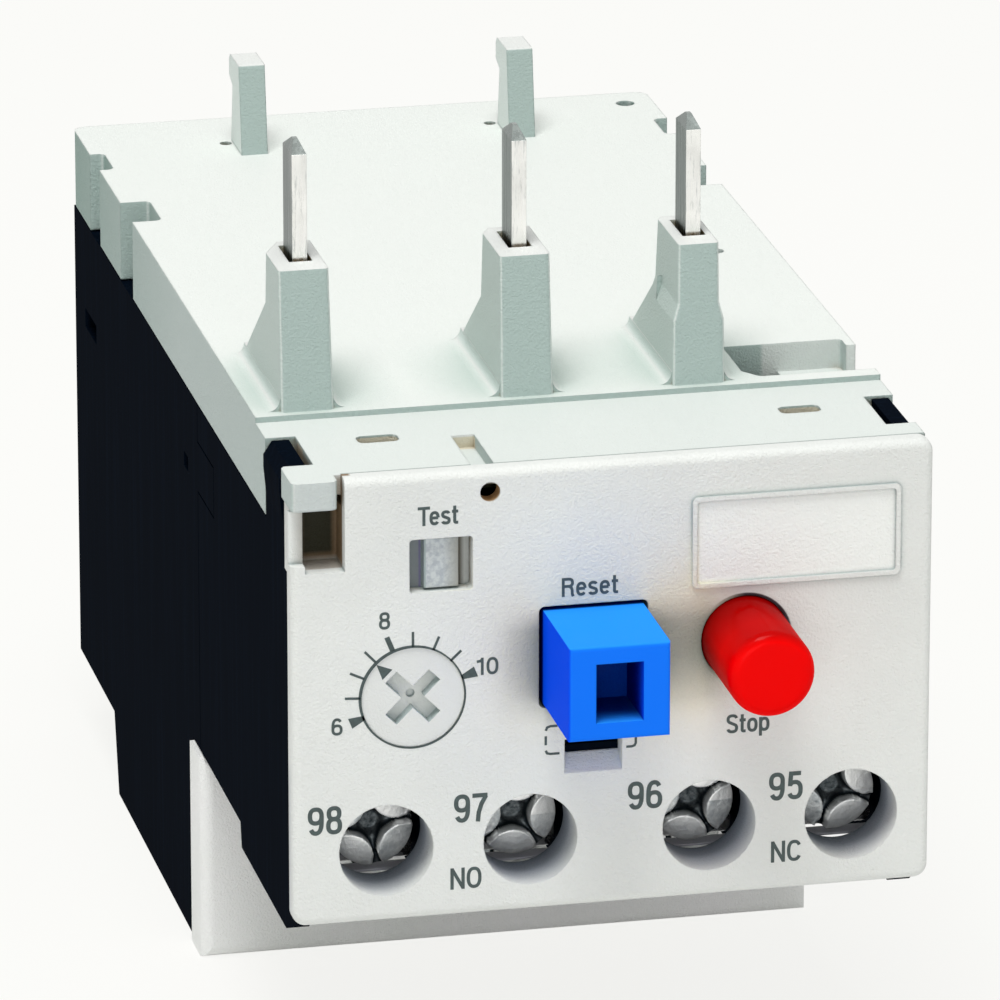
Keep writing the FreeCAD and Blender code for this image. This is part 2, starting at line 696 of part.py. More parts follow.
def make_front_housing():
    """Open box behind the front plate: terminal chambers, bulkhead, floor and snap lugs."""
    front = plate_thickness + 0.1
    back = cover_face_back - seam
    outer_side = [
        (front, plate_bottom + 0.2),
        (lug_front, front_floor),
        (middle_y - 0.4, front_floor),
        (middle_y, middle_floor),
        (back, middle_floor),
        (back, skirt_bottom - seam),
        (lug_back - seam, skirt_bottom - seam),
        (lug_back - seam, strip_top - 2.2),
        (front, strip_top - 2.2),
    ]
    body = prism(outer_side, "x", -half_shell, half_shell)
    cavity_side = [
        (front - 1, aux_chamber_top + chamber_roof),
        (bulkhead_back, aux_chamber_top + chamber_roof),
        (bulkhead_back, middle_floor + wall),
        (back + 1, middle_floor + wall),
        (back + 1, deck_top),
        (front - 1, deck_top),
    ]
    cavity = prism(cavity_side, "x", -inner_half, inner_half)
    between_cheeks = block((-inner_half, inner_half), (front - 1, middle_y), (front_floor - 1, middle_floor))
    body = body.cut([cavity, between_cheeks])
    lugs = []
    lug_outer = half_shell + lug_proud
    lug_top = strip_top - lug_drop
    for side in (-1, 1):
        lug = [
            (side * inner_half, strip_top - 5),
            (side * half_shell, strip_top - 5),
            (side * half_shell, strip_top - 4),
            (side * lug_outer, lug_top - 2 * lug_bevel[1]),
            (side * lug_outer, lug_top - lug_bevel[1]),
            (side * (lug_outer - lug_bevel[0]), lug_top),
            (side * inner_half, lug_top),
        ]
        lugs.append(prism(lug, "y", lug_front + snug, lug_back - snug))
    bulkhead = block((-inner_half - 0.2, inner_half + 0.2), (bulkhead_y, bulkhead_back),
                     (aux_chamber_top, skirt_bottom - 1))
    shelf = block((lever_pivot[0] - 2.4, inner_half + 0.2), around(lever_pivot[1], 4.8),
                  (shelf_top - 1.5, shelf_top))
    ledges = []
    ledge_top = carrier_z[0] - snug
    ledge_y = (bulkhead_back - 0.2, bulkhead_back + snug + carrier_thickness)
    for x in ledge_x:
        ledges.append(block(around(x, ledge_width), ledge_y, (ledge_top - ledge_height, ledge_top)))
    body = joined([body, bulkhead, shelf] + lugs + ledges)
    cuts = side_tongue(seam)
    for x in aux_x:
        chamber_x = around(x, aux_chamber_width)
        chamber_floor = middle_floor + chamber_sill
        cuts.append(block(chamber_x, (front - 1, bulkhead_y), (chamber_floor, aux_chamber_top)))
        entry_y = (washer_y - 1.0, bulkhead_y)
        cuts.append(block(chamber_x, entry_y, (middle_floor - 1, chamber_floor + 1)))
        tube_seat = aux_hole_radius + thin_wall + seam
        cuts.append(rod(tube_seat, (x, aux_z), front - 1, aux_head_y))
        slot_x = around(x, aux_plate_width + 2 * snug)
        slot_z = (aux_chamber_top - aux_plate_thickness - 2 * snug, aux_chamber_top)
        cuts.append(block(slot_x, (bulkhead_y - 1, bulkhead_back + 1), slot_z))
    cuts.append(rod(dial_shaft_radius + running, dial_centre, bulkhead_y - 1, bulkhead_back + 1))
    for centre in (reset_centre, stop_centre):
        cuts.append(rod(plunger_radius + running, centre, bulkhead_y - 1, bulkhead_back + 1))
    cuts.append(rod(lever_pin_radius + 0.02, lever_pivot, shelf_top - 1.0, shelf_top + 1, "z"))
    notch_x = -half_plate + corner_notch_width + thin_wall + seam
    cuts.append(block((-half_plate, notch_x), (0, plate_thickness + corner_notch_depth + seam),
                      (plate_top - corner_notch_drop - thin_wall - seam, deck_top)))
    return body.cut(cuts)


def make_rear_housing():
    """Open-topped box for the bimetals, with the main terminal chambers at its front."""
    front = cover_face_back
    outer_side = [
        (front, 0.0),
        (heel_y, 0.0),
        (heel_y + heel_run, heel_rise),
        (housing_back, heel_rise),
        (housing_back, skirt_bottom - seam),
        (front, skirt_bottom - seam),
    ]
    solid_side = prism(outer_side, "x", -half_shell, half_shell)
    inner_side = [
        (front + wall, wall),
        (heel_y - 1.0, wall),
        (heel_y + heel_run - 1.0, heel_rise + wall),
        (housing_back - wall, heel_rise + wall),
        (housing_back - wall, deck_top),
        (front + wall, deck_top),
    ]
    body = solid_side.cut(prism(inner_side, "x", -inner_half, inner_half))
    chamber_block = block((-inner_half - 0.2, inner_half + 0.2), (front + wall - 0.2, chamber_back + 1.2),
                          (wall - 0.2, chamber_top + 1.2))
    adds = [body, chamber_block] + side_tongue(0.0)
    for number in (0, 1):
        middle = (bimetal_x[number] + bimetal_x[number + 1]) / 2
        partition = block(around(middle, partition_thickness), (chamber_back + 1, housing_back - wall + 0.2),
                          (wall - 0.2, slide_z[0] - snug))
        adds.append(partition.common(solid_side))
    lip_half = half_shell - cover_wall - seam
    notch_ends = [[body_depth - to_end for to_end in notch[:2]] for notch in skirt_notches]
    lip_places = [(front, notch_ends[0][0] - lip_clear)]
    lip_places.append((notch_ends[0][1] + lip_clear, notch_ends[1][0] - lip_clear))
    lip_places.append((notch_ends[1][1] + lip_clear, housing_back - wall))
    lip_low = skirt_bottom - lip_root
    for side in (-1, 1):
        x_limits = sorted((side * (lip_half - lip_thickness), side * lip_half))
        for y_limits in lip_places:
            adds.append(block(x_limits, y_limits, (lip_low, skirt_bottom + lip_rise)))
            foot = sorted((side * (lip_half - lip_thickness), side * (inner_half + 0.2)))
            adds.append(block(foot, y_limits, (lip_low, skirt_bottom - seam)))
    body = joined(adds)
    cuts = []
    for x in main_x:
        cuts.append(block(around(x, chamber_width), (front - 1, chamber_back), (wall, chamber_top)))
        cuts.append(block(around(x, chamber_width), (front + wall, chamber_back), (-1, wall + 1)))
        slot_z = (chamber_top - bar_thickness - 2 * snug, chamber_top)
        cuts.append(block(around(x, tongue_width + 2 * snug), (chamber_back - 1, chamber_back + 2.2), slot_z))
    window = block((lever_pivot[0] - 3.4, inner_half), (front - 1, front + wall + 1),
                   (lever_z - 1.0, deck_top))
    cuts.append(window)
    recesses = [
        ((body_depth - rear_recess[0], body_depth - rear_recess[1]), rear_recess_z),
        ((split_y + front_recess[0], split_y + front_recess[1]), front_recess_z),
    ]
    flange_x = half_plate - flange_thickness - seam
    for side in (-1, 1):
        x_limits = sorted((side * (half_shell - recess_depth), side * (half_shell + 1)))
        for y_limits, z_limits in recesses:
            cuts.append(block(x_limits, y_limits, z_limits))
        x_limits = sorted((side * flange_x, side * (half_shell + 1)))
        cuts.append(block(x_limits, (front - 1, split_y + flange_depth + seam), (-1, middle_floor)))
    return body.cut(cuts)


# ---------------------------------------------------------------- controls
def make_dial():
    """Setting dial with a cross slot, a flange behind the plate, a shaft and a cam."""
    disc = rod(dial_radius, dial_centre, dial_face, plate_thickness + 0.3)
    flange = rod(dial_radius + dial_flange, dial_centre, plate_thickness + 0.2, plate_thickness + 1.3)
    shaft = rod(dial_shaft_radius, dial_centre, plate_thickness + 1, bulkhead_back + 0.6)
    cam_centre = (dial_centre[0] + dial_cam_offset, dial_centre[1])
    cam = rod(dial_cam_radius, cam_centre, dial_cam_y[0], dial_cam_y[1])
    body = joined([disc, flange, shaft, cam])
    for angle in (45, 135):
        slot = block(around(dial_centre[0], dial_slot_length), (-1, dial_face + dial_slot_depth),
                     around(dial_centre[1], dial_slot_width))
        middle = Vector(dial_centre[0], 0, dial_centre[1])
        slot.rotate(middle, Vector(0, 1, 0), angle)
        body = body.cut(slot)
    slot_floor = dial_face + dial_slot_depth
    return body.cut(rod(dial_dimple, dial_centre, slot_floor - dial_dimple, slot_floor + dial_dimple))


def make_reset_button():
    """Square button with a socket, a retaining flange and a plunger."""
    head = block(around(reset_centre[0], reset_size[0]), (-button_proud, sleeve_depth + snug + 0.3),
                 around(reset_centre[1], reset_size[1]))
    head = round_front_edges(head, -button_proud, 0.25)
    flange_size = [size + 2 * button_flange + 2 * reset_gap for size in reset_size]
    flange_y = (sleeve_depth + snug, sleeve_depth + snug + button_flange_thickness)
    flange = block(around(reset_centre[0], flange_size[0]), flange_y, around(reset_centre[1], flange_size[1]))
    plunger = rod(plunger_radius, reset_centre, flange_y[1] - 0.2, bulkhead_back - 0.2)
    body = joined([head, flange, plunger])
    socket_y = (-button_proud - 1, reset_socket_depth - button_proud)
    socket_x, socket_z = [around(reset_centre[side], reset_socket[side]) for side in (0, 1)]
    socket = block(socket_x, socket_y, socket_z)
    return body.cut(socket)


def make_stop_button():
    """Round button with a rounded front, a retaining flange and a plunger."""
    head = rod(stop_radius, stop_centre, -button_proud, sleeve_depth + snug + 0.3)
    head = round_front_edges(head, -button_proud, stop_edge)
    flange_y = (sleeve_depth + snug, sleeve_depth + snug + button_flange_thickness)
    flange = rod(stop_radius + button_flange + 0.1, stop_centre, flange_y[0], flange_y[1])
    plunger = rod(plunger_radius, stop_centre, flange_y[1] - 0.2, bulkhead_back - 0.2)
    return joined([head, flange, plunger])


def make_button_spring(centre):
    """Return spring round a plunger, from the button's flange to the bulkhead."""
    start = sleeve_depth + snug + button_flange_thickness
    return coil(plunger_radius + 0.75, spring_wire, 3, "y", centre, start + 0.02, bulkhead_y - 0.02)


def make_test_slider():
    """Test slider: a knob in the window on a plate behind the front plate."""
    plate_y = (plate_thickness + 0.1, plate_thickness + 0.1 + test_plate_thickness)
    plate = block(around(test_centre[0], test_plate[0]), plate_y, around(test_centre[1], test_plate[1]))
    knob = block(around(test_centre[0] + 0.1, test_knob[0]), (0.5, plate_y[1]),
                 around(test_centre[1], test_knob[1]))
    return joined([plate, knob])


# ---------------------------------------------------------------- auxiliary terminals
def screw(head_radius, head_height, shank_radius, shank_length, head_y, centre):
    """Terminal screw with a cross and slot recess."""
    head = rod(head_radius, centre, head_y, head_y + head_height)
    rim = [edge for edge in head.Edges if abs(edge.CenterOfMass.y - head_y) < 1e-6]
    head = head.makeChamfer(0.25 * head_height, rim[:1])
    shank = rod(shank_radius, centre, head_y + head_height - 0.1, head_y + head_height + shank_length)
    body = joined([head, shank])
    recess_depth = 0.6 * head_height
    middle = Vector(centre[0], 0, centre[1])
    slot = block(around(centre[0], 2.4 * head_radius), (head_y - 1, head_y + 0.5 * recess_depth),
                 around(centre[1], 0.3 * head_radius))
    slot.rotate(middle, Vector(0, 1, 0), 25)
    cross = []
    for angle in (25, 115):
        arm = block(around(centre[0], 1.25 * head_radius), (head_y - 1, head_y + recess_depth),
                    around(centre[1], 0.34 * head_radius))
        arm.rotate(middle, Vector(0, 1, 0), angle)
        cross.append(arm)
    return body.cut([slot] + cross)


def make_aux_screw(x):
    """Screw of one auxiliary terminal."""
    return screw(aux_head_radius, aux_head_height, aux_shank_radius, aux_shank_length, aux_head_y, (x, aux_z))


def make_aux_washer(x):
    """Square pressure plate under the head of an auxiliary screw."""
    plate = prism(rectangle(around(x, aux_washer_size), around(aux_z, aux_washer_size), 0.6),
                  "y", washer_y, washer_y + aux_washer_thickness)
    return plate.cut(rod(aux_shank_radius + running, (x, aux_z), 0, bulkhead_y))


def aux_rail(x, reach):
    """Threaded plate of an auxiliary terminal with the strip that leads back to the contacts."""
    plate_y = (aux_plate_y, aux_plate_y + aux_plate_thickness)
    top = aux_chamber_top - snug
    plate = block(around(x, aux_washer_size), plate_y, (front_floor + 3.4, top))
    nut = rod(aux_nut_radius, (x, aux_z), plate_y[1] - 0.1, plate_y[1] + aux_nut_length)
    strip = block(around(x, aux_plate_width), (plate_y[0], reach), (top - aux_plate_thickness, top))
    body = joined([plate, nut, strip])
    return body.cut(rod(aux_shank_radius + running, (x, aux_z), 0, bulkhead_y))


def make_aux_terminal(number):
    """Auxiliary terminal; the outer two carry fixed contacts and the inner two end under a leaf."""
    x = aux_x[number]
    back = contact_y + aux_plate_thickness
    rail = aux_rail(x, back)
    if number in (1, 2):
        return rail
    riser = block(around(x, aux_plate_width), (contact_y, back), (aux_chamber_top - snug - 0.2, contact_top))
    if number == 0:
        tip = leaf_x[0] - leaf_thickness / 2 - 0.6 - open_gap
        arm_x = (x, tip - 0.5)
        rivet = rod(rivet_radius, (contact_y + 0.2, contact_z), tip - 0.6, tip, "x")
    else:
        tip = leaf_x[1] + leaf_thickness / 2 + 0.9 + closed_gap
        arm_x = (tip + 0.5, x)
        rivet = rod(rivet_radius, (contact_y + 0.2, contact_z), tip, tip + 0.6, "x")
    arm = block(arm_x, (contact_y, back), (contact_z - 1.5, contact_top))
    return joined([rail, riser, arm, rivet])


def make_contact_leaf(which):
    """Contact spring with its rivet: 0 closes on a trip, 1 opens."""
    x = leaf_x[which]
    leaf = block(around(x, leaf_thickness), (leaf_y, leaf_y + leaf_width), (leaf_foot_z, leaf_top))
    if which == 0:
        rivet = rod(rivet_radius, (contact_y + 0.2, contact_z), x - leaf_thickness / 2 - 0.6, x, "x")
    else:
        rivet = rod(rivet_radius, (contact_y + 0.2, contact_z), x, x + leaf_thickness / 2 + 0.9, "x")
    return joined([leaf, rivet])


def make_contact_carrier():
    """Sliding bar with a peg beside each contact leaf and a spigot for its spring."""
    y_limits = (bulkhead_back + snug, bulkhead_back + snug + carrier_thickness)
    bar = block((carrier_left, carrier_right), y_limits, carrier_z)
    pegs = []
    for x in leaf_x:
        start = x + leaf_thickness / 2 + lever_gap
        pegs.append(block((start, start + peg_width), (y_limits[1] - 0.2, y_limits[1] + peg_length), peg_z))
    middle = ((y_limits[0] + y_limits[1]) / 2, (carrier_z[0] + carrier_z[1]) / 2)
    spigot = rod(spigot_radius, middle, carrier_left - spigot_length, carrier_left + 0.2, "x")
    return joined([bar, spigot] + pegs)


def make_carrier_spring():
    """Compression spring between the side of the front housing and the contact carrier."""
    middle = (bulkhead_back + snug + carrier_thickness / 2, (carrier_z[0] + carrier_z[1]) / 2)
    return coil(0.95, spring_wire, 5, "x", middle, -inner_half + 0.02, carrier_left - 0.02)


# ---------------------------------------------------------------- main terminals and current path
def make_main_screw(x):
    """Screw of one main terminal."""
    length = bar_y - snug - main_head_y - main_head_height
    return screw(main_head_radius, main_head_height, main_shank_radius, length, main_head_y, (x, main_z))


def make_main_cage(x):
    """Box clamp: a square ring round the load bar, threaded for the screw at its front."""
    back = bar_y + bar_thickness + snug + cage_back_wall
    front = bar_y - snug - main_thread - cage_front_wall
    z_limits = around(main_z, cage_height)
    outer = block(around(x, cage_width), (front, back), z_limits)
    inner_y = (front + cage_front_wall, back - cage_back_wall)
    inner = block(around(x, cage_width - 2 * cage_side_wall), inner_y, (z_limits[0] - 1, z_limits[1] + 1))
    hole = rod(main_shank_radius + running, (x, main_z), front - 1, front + cage_front_wall + 0.5)
    return outer.cut([inner, hole])


def make_load_bar(number):
    """Strip from a main terminal's clamp back to the foot of its bimetal."""
    x = main_x[number]
    bimetal = bimetal_x[number]
    top = chamber_top - snug
    tongue = block(around(x, tongue_width), (bar_y, bar_y + bar_thickness), (main_z - 4.2, top))
    strip = block(around(x, tongue_width), (bar_y, chamber_back + 2.6), (top - bar_thickness, top))
    jog_x = (min(x - tongue_width / 2, bimetal - 1.5), max(x + tongue_width / 2, bimetal + 1.5))
    jog = block(jog_x, (chamber_back + 1.6, chamber_back + 3.6), (top - bar_thickness, top))
    foot = block(around(bimetal, 3.0), (chamber_back + 2.0, bimetal_y + bimetal_width + 0.5),
                 (top - bar_thickness, top))
    return joined([tongue, strip, jog, foot])


def make_bimetal(number):
    """Bimetal strip standing on the load bar's foot."""
    return block(around(bimetal_x[number], bimetal_thickness), (bimetal_y, bimetal_y + bimetal_width),
                 (bimetal_foot_z, bimetal_top))


def make_heater(number):
    """Heater winding round a bimetal, with a tail to the line strip."""
    x = bimetal_x[number]
    middle_y = bimetal_y + bimetal_width / 2
    height = heater_turns * heater_pitch
    sleeve_size = (heater_thickness - 2 * 0.8, heater_width - 2 * 0.8)
    sleeve = block(around(x, sleeve_size[0]), around(middle_y, sleeve_size[1]),
                   (heater_bottom, heater_bottom + height))
    turns = []
    for turn in range(heater_turns):
        low = heater_bottom + turn * heater_pitch + 0.4
        turns.append(block(around(x, heater_thickness), around(middle_y, heater_width),
                           (low, low + heater_turn_height)))
    tail_x = (pin_x[number] + pin_thickness / 2, x + 0.5)
    tail_z = (pin_drop_end + 0.4, pin_drop_end + 2.4)
    tail = block(tail_x, (middle_y + heater_width / 2 - 0.5, pin_drop_y + pin_width), tail_z)
    body = joined([sleeve, tail] + turns)
    bore = block(around(x, bimetal_thickness + 2 * heater_sleeve),
                 around(middle_y, bimetal_width + 2 * heater_sleeve),
                 (heater_bottom - 1, heater_bottom + height + 1))
    return body.cut(bore)


def make_line_pin(number):
    """Flat stamping: contact pin, strip back under the deck and leg down to the heater."""
    back = pin_y + pin_width
    rail_top = pin_rail_z + pin_rail_height
    corners = [
        (pin_y, pin_rail_z, 0.6),
        (pin_drop_y, pin_rail_z, 0.6),
        (pin_drop_y, pin_drop_end),
        (pin_drop_y + pin_width, pin_drop_end),
        (pin_drop_y + pin_width, rail_top, 0.8),
        (back, rail_top, 0.5),
        (back, pin_top - pin_tip_height),
        (back - pin_tip_run, pin_top),
        (pin_y + pin_tip_run, pin_top),
        (pin_y, pin_top - pin_tip_height),
    ]
    x_limits = around(pin_x[number], pin_thickness)
    body = prism(corners, "x", x_limits[0], x_limits[1])
    bevels = []
    for side in (-1, 1):
        face_x = pin_x[number] + side * pin_thickness / 2
        inner_x = face_x - side * pin_tip_bevel
        corners = [
            (inner_x, pin_top + 0.1),
            (face_x, pin_top - pin_tip_height),
            (face_x + side, pin_top - pin_tip_height),
            (face_x + side, pin_top + 0.1),
        ]
        bevels.append(prism(corners, "y", pin_y - 1, back + 1))
    return body.cut(bevels)


# ---------------------------------------------------------------- trip linkage
def make_slide(which):
    """Comb plate over the bimetals: 0 is the phase-failure slide, 1 the overload slide."""
    low = slide_z[which]
    z_limits = (low, low + slide_thickness)
    through = (low - 1, low + slide_thickness + 1)
    plate = block((slide_left, slide_right), (slide_front, slide_back), z_limits)
    near = bimetal_thickness / 2 + snug
    slot_left = near + (0.0, trip_travel)[which]
    slot_right = near + (phase_lag, 0.0)[which]
    window_y = (bimetal_y - slide_slot_gap, bimetal_y + bimetal_width + slide_slot_gap)
    cuts = []
    for x in bimetal_x:
        cuts.append(block((x - slot_left, x + slot_right), window_y, through))
    body = plate.cut(cuts)
    slot_x = around(differential_x, differential_slot[0])
    slot_y = around(differential_y + differential_arm, differential_slot[1])
    if which == 0:
        return body.cut(block(slot_x, slot_y, through))
    pivot_top = slide_z[1] + slide_thickness + snug + differential_thickness + snug
    pivot = rod(differential_pin, (differential_x, differential_y), low + 0.2, pivot_top, "z")
    wide_x = (slot_x[0] - differential_swing[0], slot_x[1] + differential_swing[1])
    return joined([body, pivot]).cut(block(wide_x, slot_y, through))


def make_differential_lever():
    """Small lever on the overload slide, with a peg down into the phase-failure slide."""
    low = slide_z[1] + slide_thickness + snug
    z_limits = (low, low + differential_thickness)
    arm_ends = (differential_y - differential_arm, differential_y + differential_arm)
    bar = block(around(differential_x, differential_width), (arm_ends[0] - 0.8, arm_ends[1] + 0.8), z_limits)
    nose_x = differential_x + 0.2
    nose = rod(differential_nose, (nose_x, arm_ends[0]), z_limits[0], z_limits[1], "z")
    peg = rod(differential_pin, (differential_x, arm_ends[1]), slide_z[0] + 0.2, z_limits[1], "z")
    hole = rod(differential_pin + running, (differential_x, differential_y), low - 1, low + 3, "z")
    return joined([bar, nose, peg]).cut(hole)


def make_trip_lever():
    """Lever that turns on a pin in the front housing, from the slides to the contact carrier."""
    z_limits = (lever_z, lever_z + lever_thickness)
    nose_x = differential_x + 0.2 + differential_nose + phase_lag + lever_gap
    nose_y = differential_y - differential_arm
    rear_end = nose_y + 1.2
    front_x = carrier_right + lever_gap
    front_end = bulkhead_back + snug
    hub = rod(lever_hub, lever_pivot, z_limits[0], z_limits[1], "z")
    rear_corners = [
        (lever_pivot[0] - 0.6, lever_pivot[1]),
        (lever_pivot[0] + 0.6, lever_pivot[1]),
        (nose_x + lever_arm_width, nose_y - 6),
        (nose_x + lever_arm_width, rear_end, 0.4),
        (nose_x, rear_end, 0.4),
        (nose_x, nose_y - 6),
    ]
    front_corners = [
        (lever_pivot[0] - 0.6, lever_pivot[1]),
        (front_x, front_end + 4.0),
        (front_x, front_end, 0.4),
        (front_x + lever_arm_width, front_end, 0.4),
        (lever_pivot[0] + 0.6, lever_pivot[1]),
    ]
    rear_arm = prism(rear_corners, "z", z_limits[0], z_limits[1])
    front_arm = prism(front_corners, "z", z_limits[0], z_limits[1])
    body = joined([hub, rear_arm, front_arm])
    return body.cut(rod(lever_pin_radius + running, lever_pivot, lever_z - 1, lever_z + 3, "z"))


def make_lever_pin():
    """Steel pin in the front housing's shelf that the trip lever turns on."""
    low = shelf_top - 1.0
    top = lever_z + lever_thickness + 0.6
    shoulder = rod(1.5, lever_pivot, shelf_top, lever_z - 0.1, "z")
    return joined([rod(lever_pin_radius, lever_pivot, low, top, "z"), shoulder])


# ---------------------------------------------------------------- write every piece
def main():
    os.makedirs("parts", exist_ok=True)
    save("top_cover", make_top_cover())
    save("front_plate", make_front_plate())
    save("terminal_cover", make_terminal_cover())
    save("front_housing", make_front_housing())
    save("rear_housing", make_rear_housing())
    save("setting_dial", make_dial())
    save("reset_button", make_reset_button())
    save("reset_spring", make_button_spring(reset_centre))
    save("stop_button", make_stop_button())
    save("stop_spring", make_button_spring(stop_centre))
    save("test_slider", make_test_slider())
    for number, name in enumerate(aux_names):
        x = aux_x[number]
        save(f"aux_screw_{name}", make_aux_screw(x))
        save(f"aux_washer_{name}", make_aux_washer(x))
        save(f"aux_terminal_{name}", make_aux_terminal(number))
    save("contact_leaf_no", make_contact_leaf(0))
    save("contact_leaf_nc", make_contact_leaf(1))
    save("contact_carrier", make_contact_carrier())
    save("carrier_spring", make_carrier_spring())
    for number in range(3):
        phase = number + 1
        save(f"main_screw_{phase}", make_main_screw(main_x[number]))
        save(f"main_cage_{phase}", make_main_cage(main_x[number]))
        save(f"load_bar_{phase}", make_load_bar(number))
        save(f"bimetal_{phase}", make_bimetal(number))
        save(f"heater_{phase}", make_heater(number))
        save(f"line_pin_{phase}", make_line_pin(number))
    save("phase_slide", make_slide(0))
    save("overload_slide", make_slide(1))
    save("differential_lever", make_differential_lever())
    save("trip_lever", make_trip_lever())
    save("lever_pin", make_lever_pin())


main()
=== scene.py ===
import json
import math

import bmesh
import bpy
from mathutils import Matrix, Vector


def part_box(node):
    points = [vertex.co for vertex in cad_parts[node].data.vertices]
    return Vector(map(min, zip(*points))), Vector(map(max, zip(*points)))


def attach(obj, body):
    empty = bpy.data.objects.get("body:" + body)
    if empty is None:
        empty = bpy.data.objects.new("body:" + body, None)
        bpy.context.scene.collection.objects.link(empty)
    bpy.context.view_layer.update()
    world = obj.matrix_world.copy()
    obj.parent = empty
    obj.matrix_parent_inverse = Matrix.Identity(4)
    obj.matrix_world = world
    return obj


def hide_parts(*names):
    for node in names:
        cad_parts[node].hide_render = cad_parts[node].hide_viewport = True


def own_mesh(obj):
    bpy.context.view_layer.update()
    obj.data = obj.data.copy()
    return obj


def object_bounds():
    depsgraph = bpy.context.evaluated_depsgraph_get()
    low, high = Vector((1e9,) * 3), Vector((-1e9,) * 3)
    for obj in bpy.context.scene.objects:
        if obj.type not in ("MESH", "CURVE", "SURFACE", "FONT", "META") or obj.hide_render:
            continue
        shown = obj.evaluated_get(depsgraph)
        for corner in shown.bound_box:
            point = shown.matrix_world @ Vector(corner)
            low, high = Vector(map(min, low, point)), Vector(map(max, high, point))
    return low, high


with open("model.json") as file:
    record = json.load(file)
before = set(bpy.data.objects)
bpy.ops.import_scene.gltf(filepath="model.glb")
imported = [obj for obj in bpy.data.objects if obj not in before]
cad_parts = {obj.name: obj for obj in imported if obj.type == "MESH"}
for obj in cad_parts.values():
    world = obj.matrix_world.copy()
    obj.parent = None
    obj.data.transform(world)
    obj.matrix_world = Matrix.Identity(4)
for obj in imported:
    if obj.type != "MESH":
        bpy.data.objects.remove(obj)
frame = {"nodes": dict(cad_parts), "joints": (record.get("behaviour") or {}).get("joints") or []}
CAD_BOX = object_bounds()

bl_info = {
    "name": "Thermal Overload Relay",
    "version": (1, 0, 0),
    "blender": (4, 5, 0),
    "location": "View3D > Sidebar > Overload Relay",
    "description": "Finishes, marks, screws and springs of a plug-in thermal overload relay",
    "category": "Object",
}

MM = 0.001
RELAY = "relay_body"
AUX_NAMES = ("98", "97", "96", "95")
PHASES = (1, 2, 3)

PLATE_LOW, PLATE_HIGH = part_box("front_plate")
RESET_LOW, RESET_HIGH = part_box("reset_button")
TEST_LOW, TEST_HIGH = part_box("test_slider")


# ---------------------------------------------------------------- places read from the frame
def middle_of(node):
    """Middle of a node's box."""
    low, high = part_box(node)
    return (low + high) / 2


def joint_of(name):
    """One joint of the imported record."""
    return next(joint for joint in frame["joints"] if joint["name"] == name)


# The label frame stands in front of the plate's face by its bead.
LABEL_BEAD = 0.2 * MM
PLATE_FACE = PLATE_LOW.y + LABEL_BEAD
# The label frame, from the plate's right and lower edges.
LABEL_RIGHT = 2.35 * MM
LABEL_MIDDLE = 25.9 * MM
LABEL_SIZE = (14.7 * MM, 6.6 * MM)
# The dial's middle and radius; its face lies a little behind the plate's.
DIAL_CENTRE = Vector(joint_of("dial_turn")["pos_m"])
DIAL_RADIUS = 3.6 * MM
DIAL_FACE = PLATE_FACE + 0.1 * MM
STOP_RADIUS = 3.05 * MM
# The seal hole's middle, from the plate's left and lower edges.
SEAL_HOLE = (PLATE_LOW.x + 13.85 * MM, PLATE_LOW.z + 30.6 * MM)
# The tubes of the auxiliary terminals lie below this height on the plate.
TUBE_TOP = PLATE_LOW.z + 11.0 * MM
# The cover's deck lies at this height, and its lower strip starts this far behind the plate's face.
DECK_TOP = 47.8 * MM
STRIP_START = 1.45 * MM
# The corner cap is this wide, from the plate's left edge.
CAP_WIDTH = 3.75 * MM
# The heights of the printed marks count from this level under the plate.
MARKS_LEVEL = PLATE_LOW.z - 15.3 * MM


# ---------------------------------------------------------------- settings
class FinishSettings(bpy.types.PropertyGroup):
    """Colours and surface textures of the mouldings and metals."""

    shell_colour: bpy.props.FloatVectorProperty(
        name="Cover colour",
        description="Light warm grey of the cover and plates",
        subtype="COLOR",
        size=3,
        min=0.0,
        max=1.0,
        default=(0.80, 0.82, 0.79),
    )
    housing_colour: bpy.props.FloatVectorProperty(
        name="Housing colour",
        description="Blue-black of the housings",
        subtype="COLOR",
        size=3,
        min=0.0,
        max=1.0,
        default=(0.0018, 0.0038, 0.0080),
    )
    reset_colour: bpy.props.FloatVectorProperty(
        name="Reset colour",
        description="Blue of the reset button",
        subtype="COLOR",
        size=3,
        min=0.0,
        max=1.0,
        default=(0.008, 0.185, 1.000),
    )
    stop_colour: bpy.props.FloatVectorProperty(
        name="Stop colour",
        description="Red of the stop button",
        subtype="COLOR",
        size=3,
        min=0.0,
        max=1.0,
        default=(0.880, 0.000, 0.000),
    )
    ink_colour: bpy.props.FloatVectorProperty(
        name="Ink colour",
        description="Dark grey-green of the printed marks",
        subtype="COLOR",
        size=3,
        min=0.0,
        max=1.0,
        default=(0.050, 0.074, 0.072),
    )
    grain_size: bpy.props.FloatProperty(
        name="Grain size",
        description="Size of one grain of the spark-eroded mould texture",
        unit="LENGTH",
        min=0.00005,
        max=0.001,
        default=0.00017,
        precision=5,
    )
    edge_radius: bpy.props.FloatProperty(
        name="Edge radius",
        description="Rounding that catches light on the edges of the mouldings",
        unit="LENGTH",
        min=0.0,
        max=0.0005,
        default=0.00014,
        precision=5,
    )


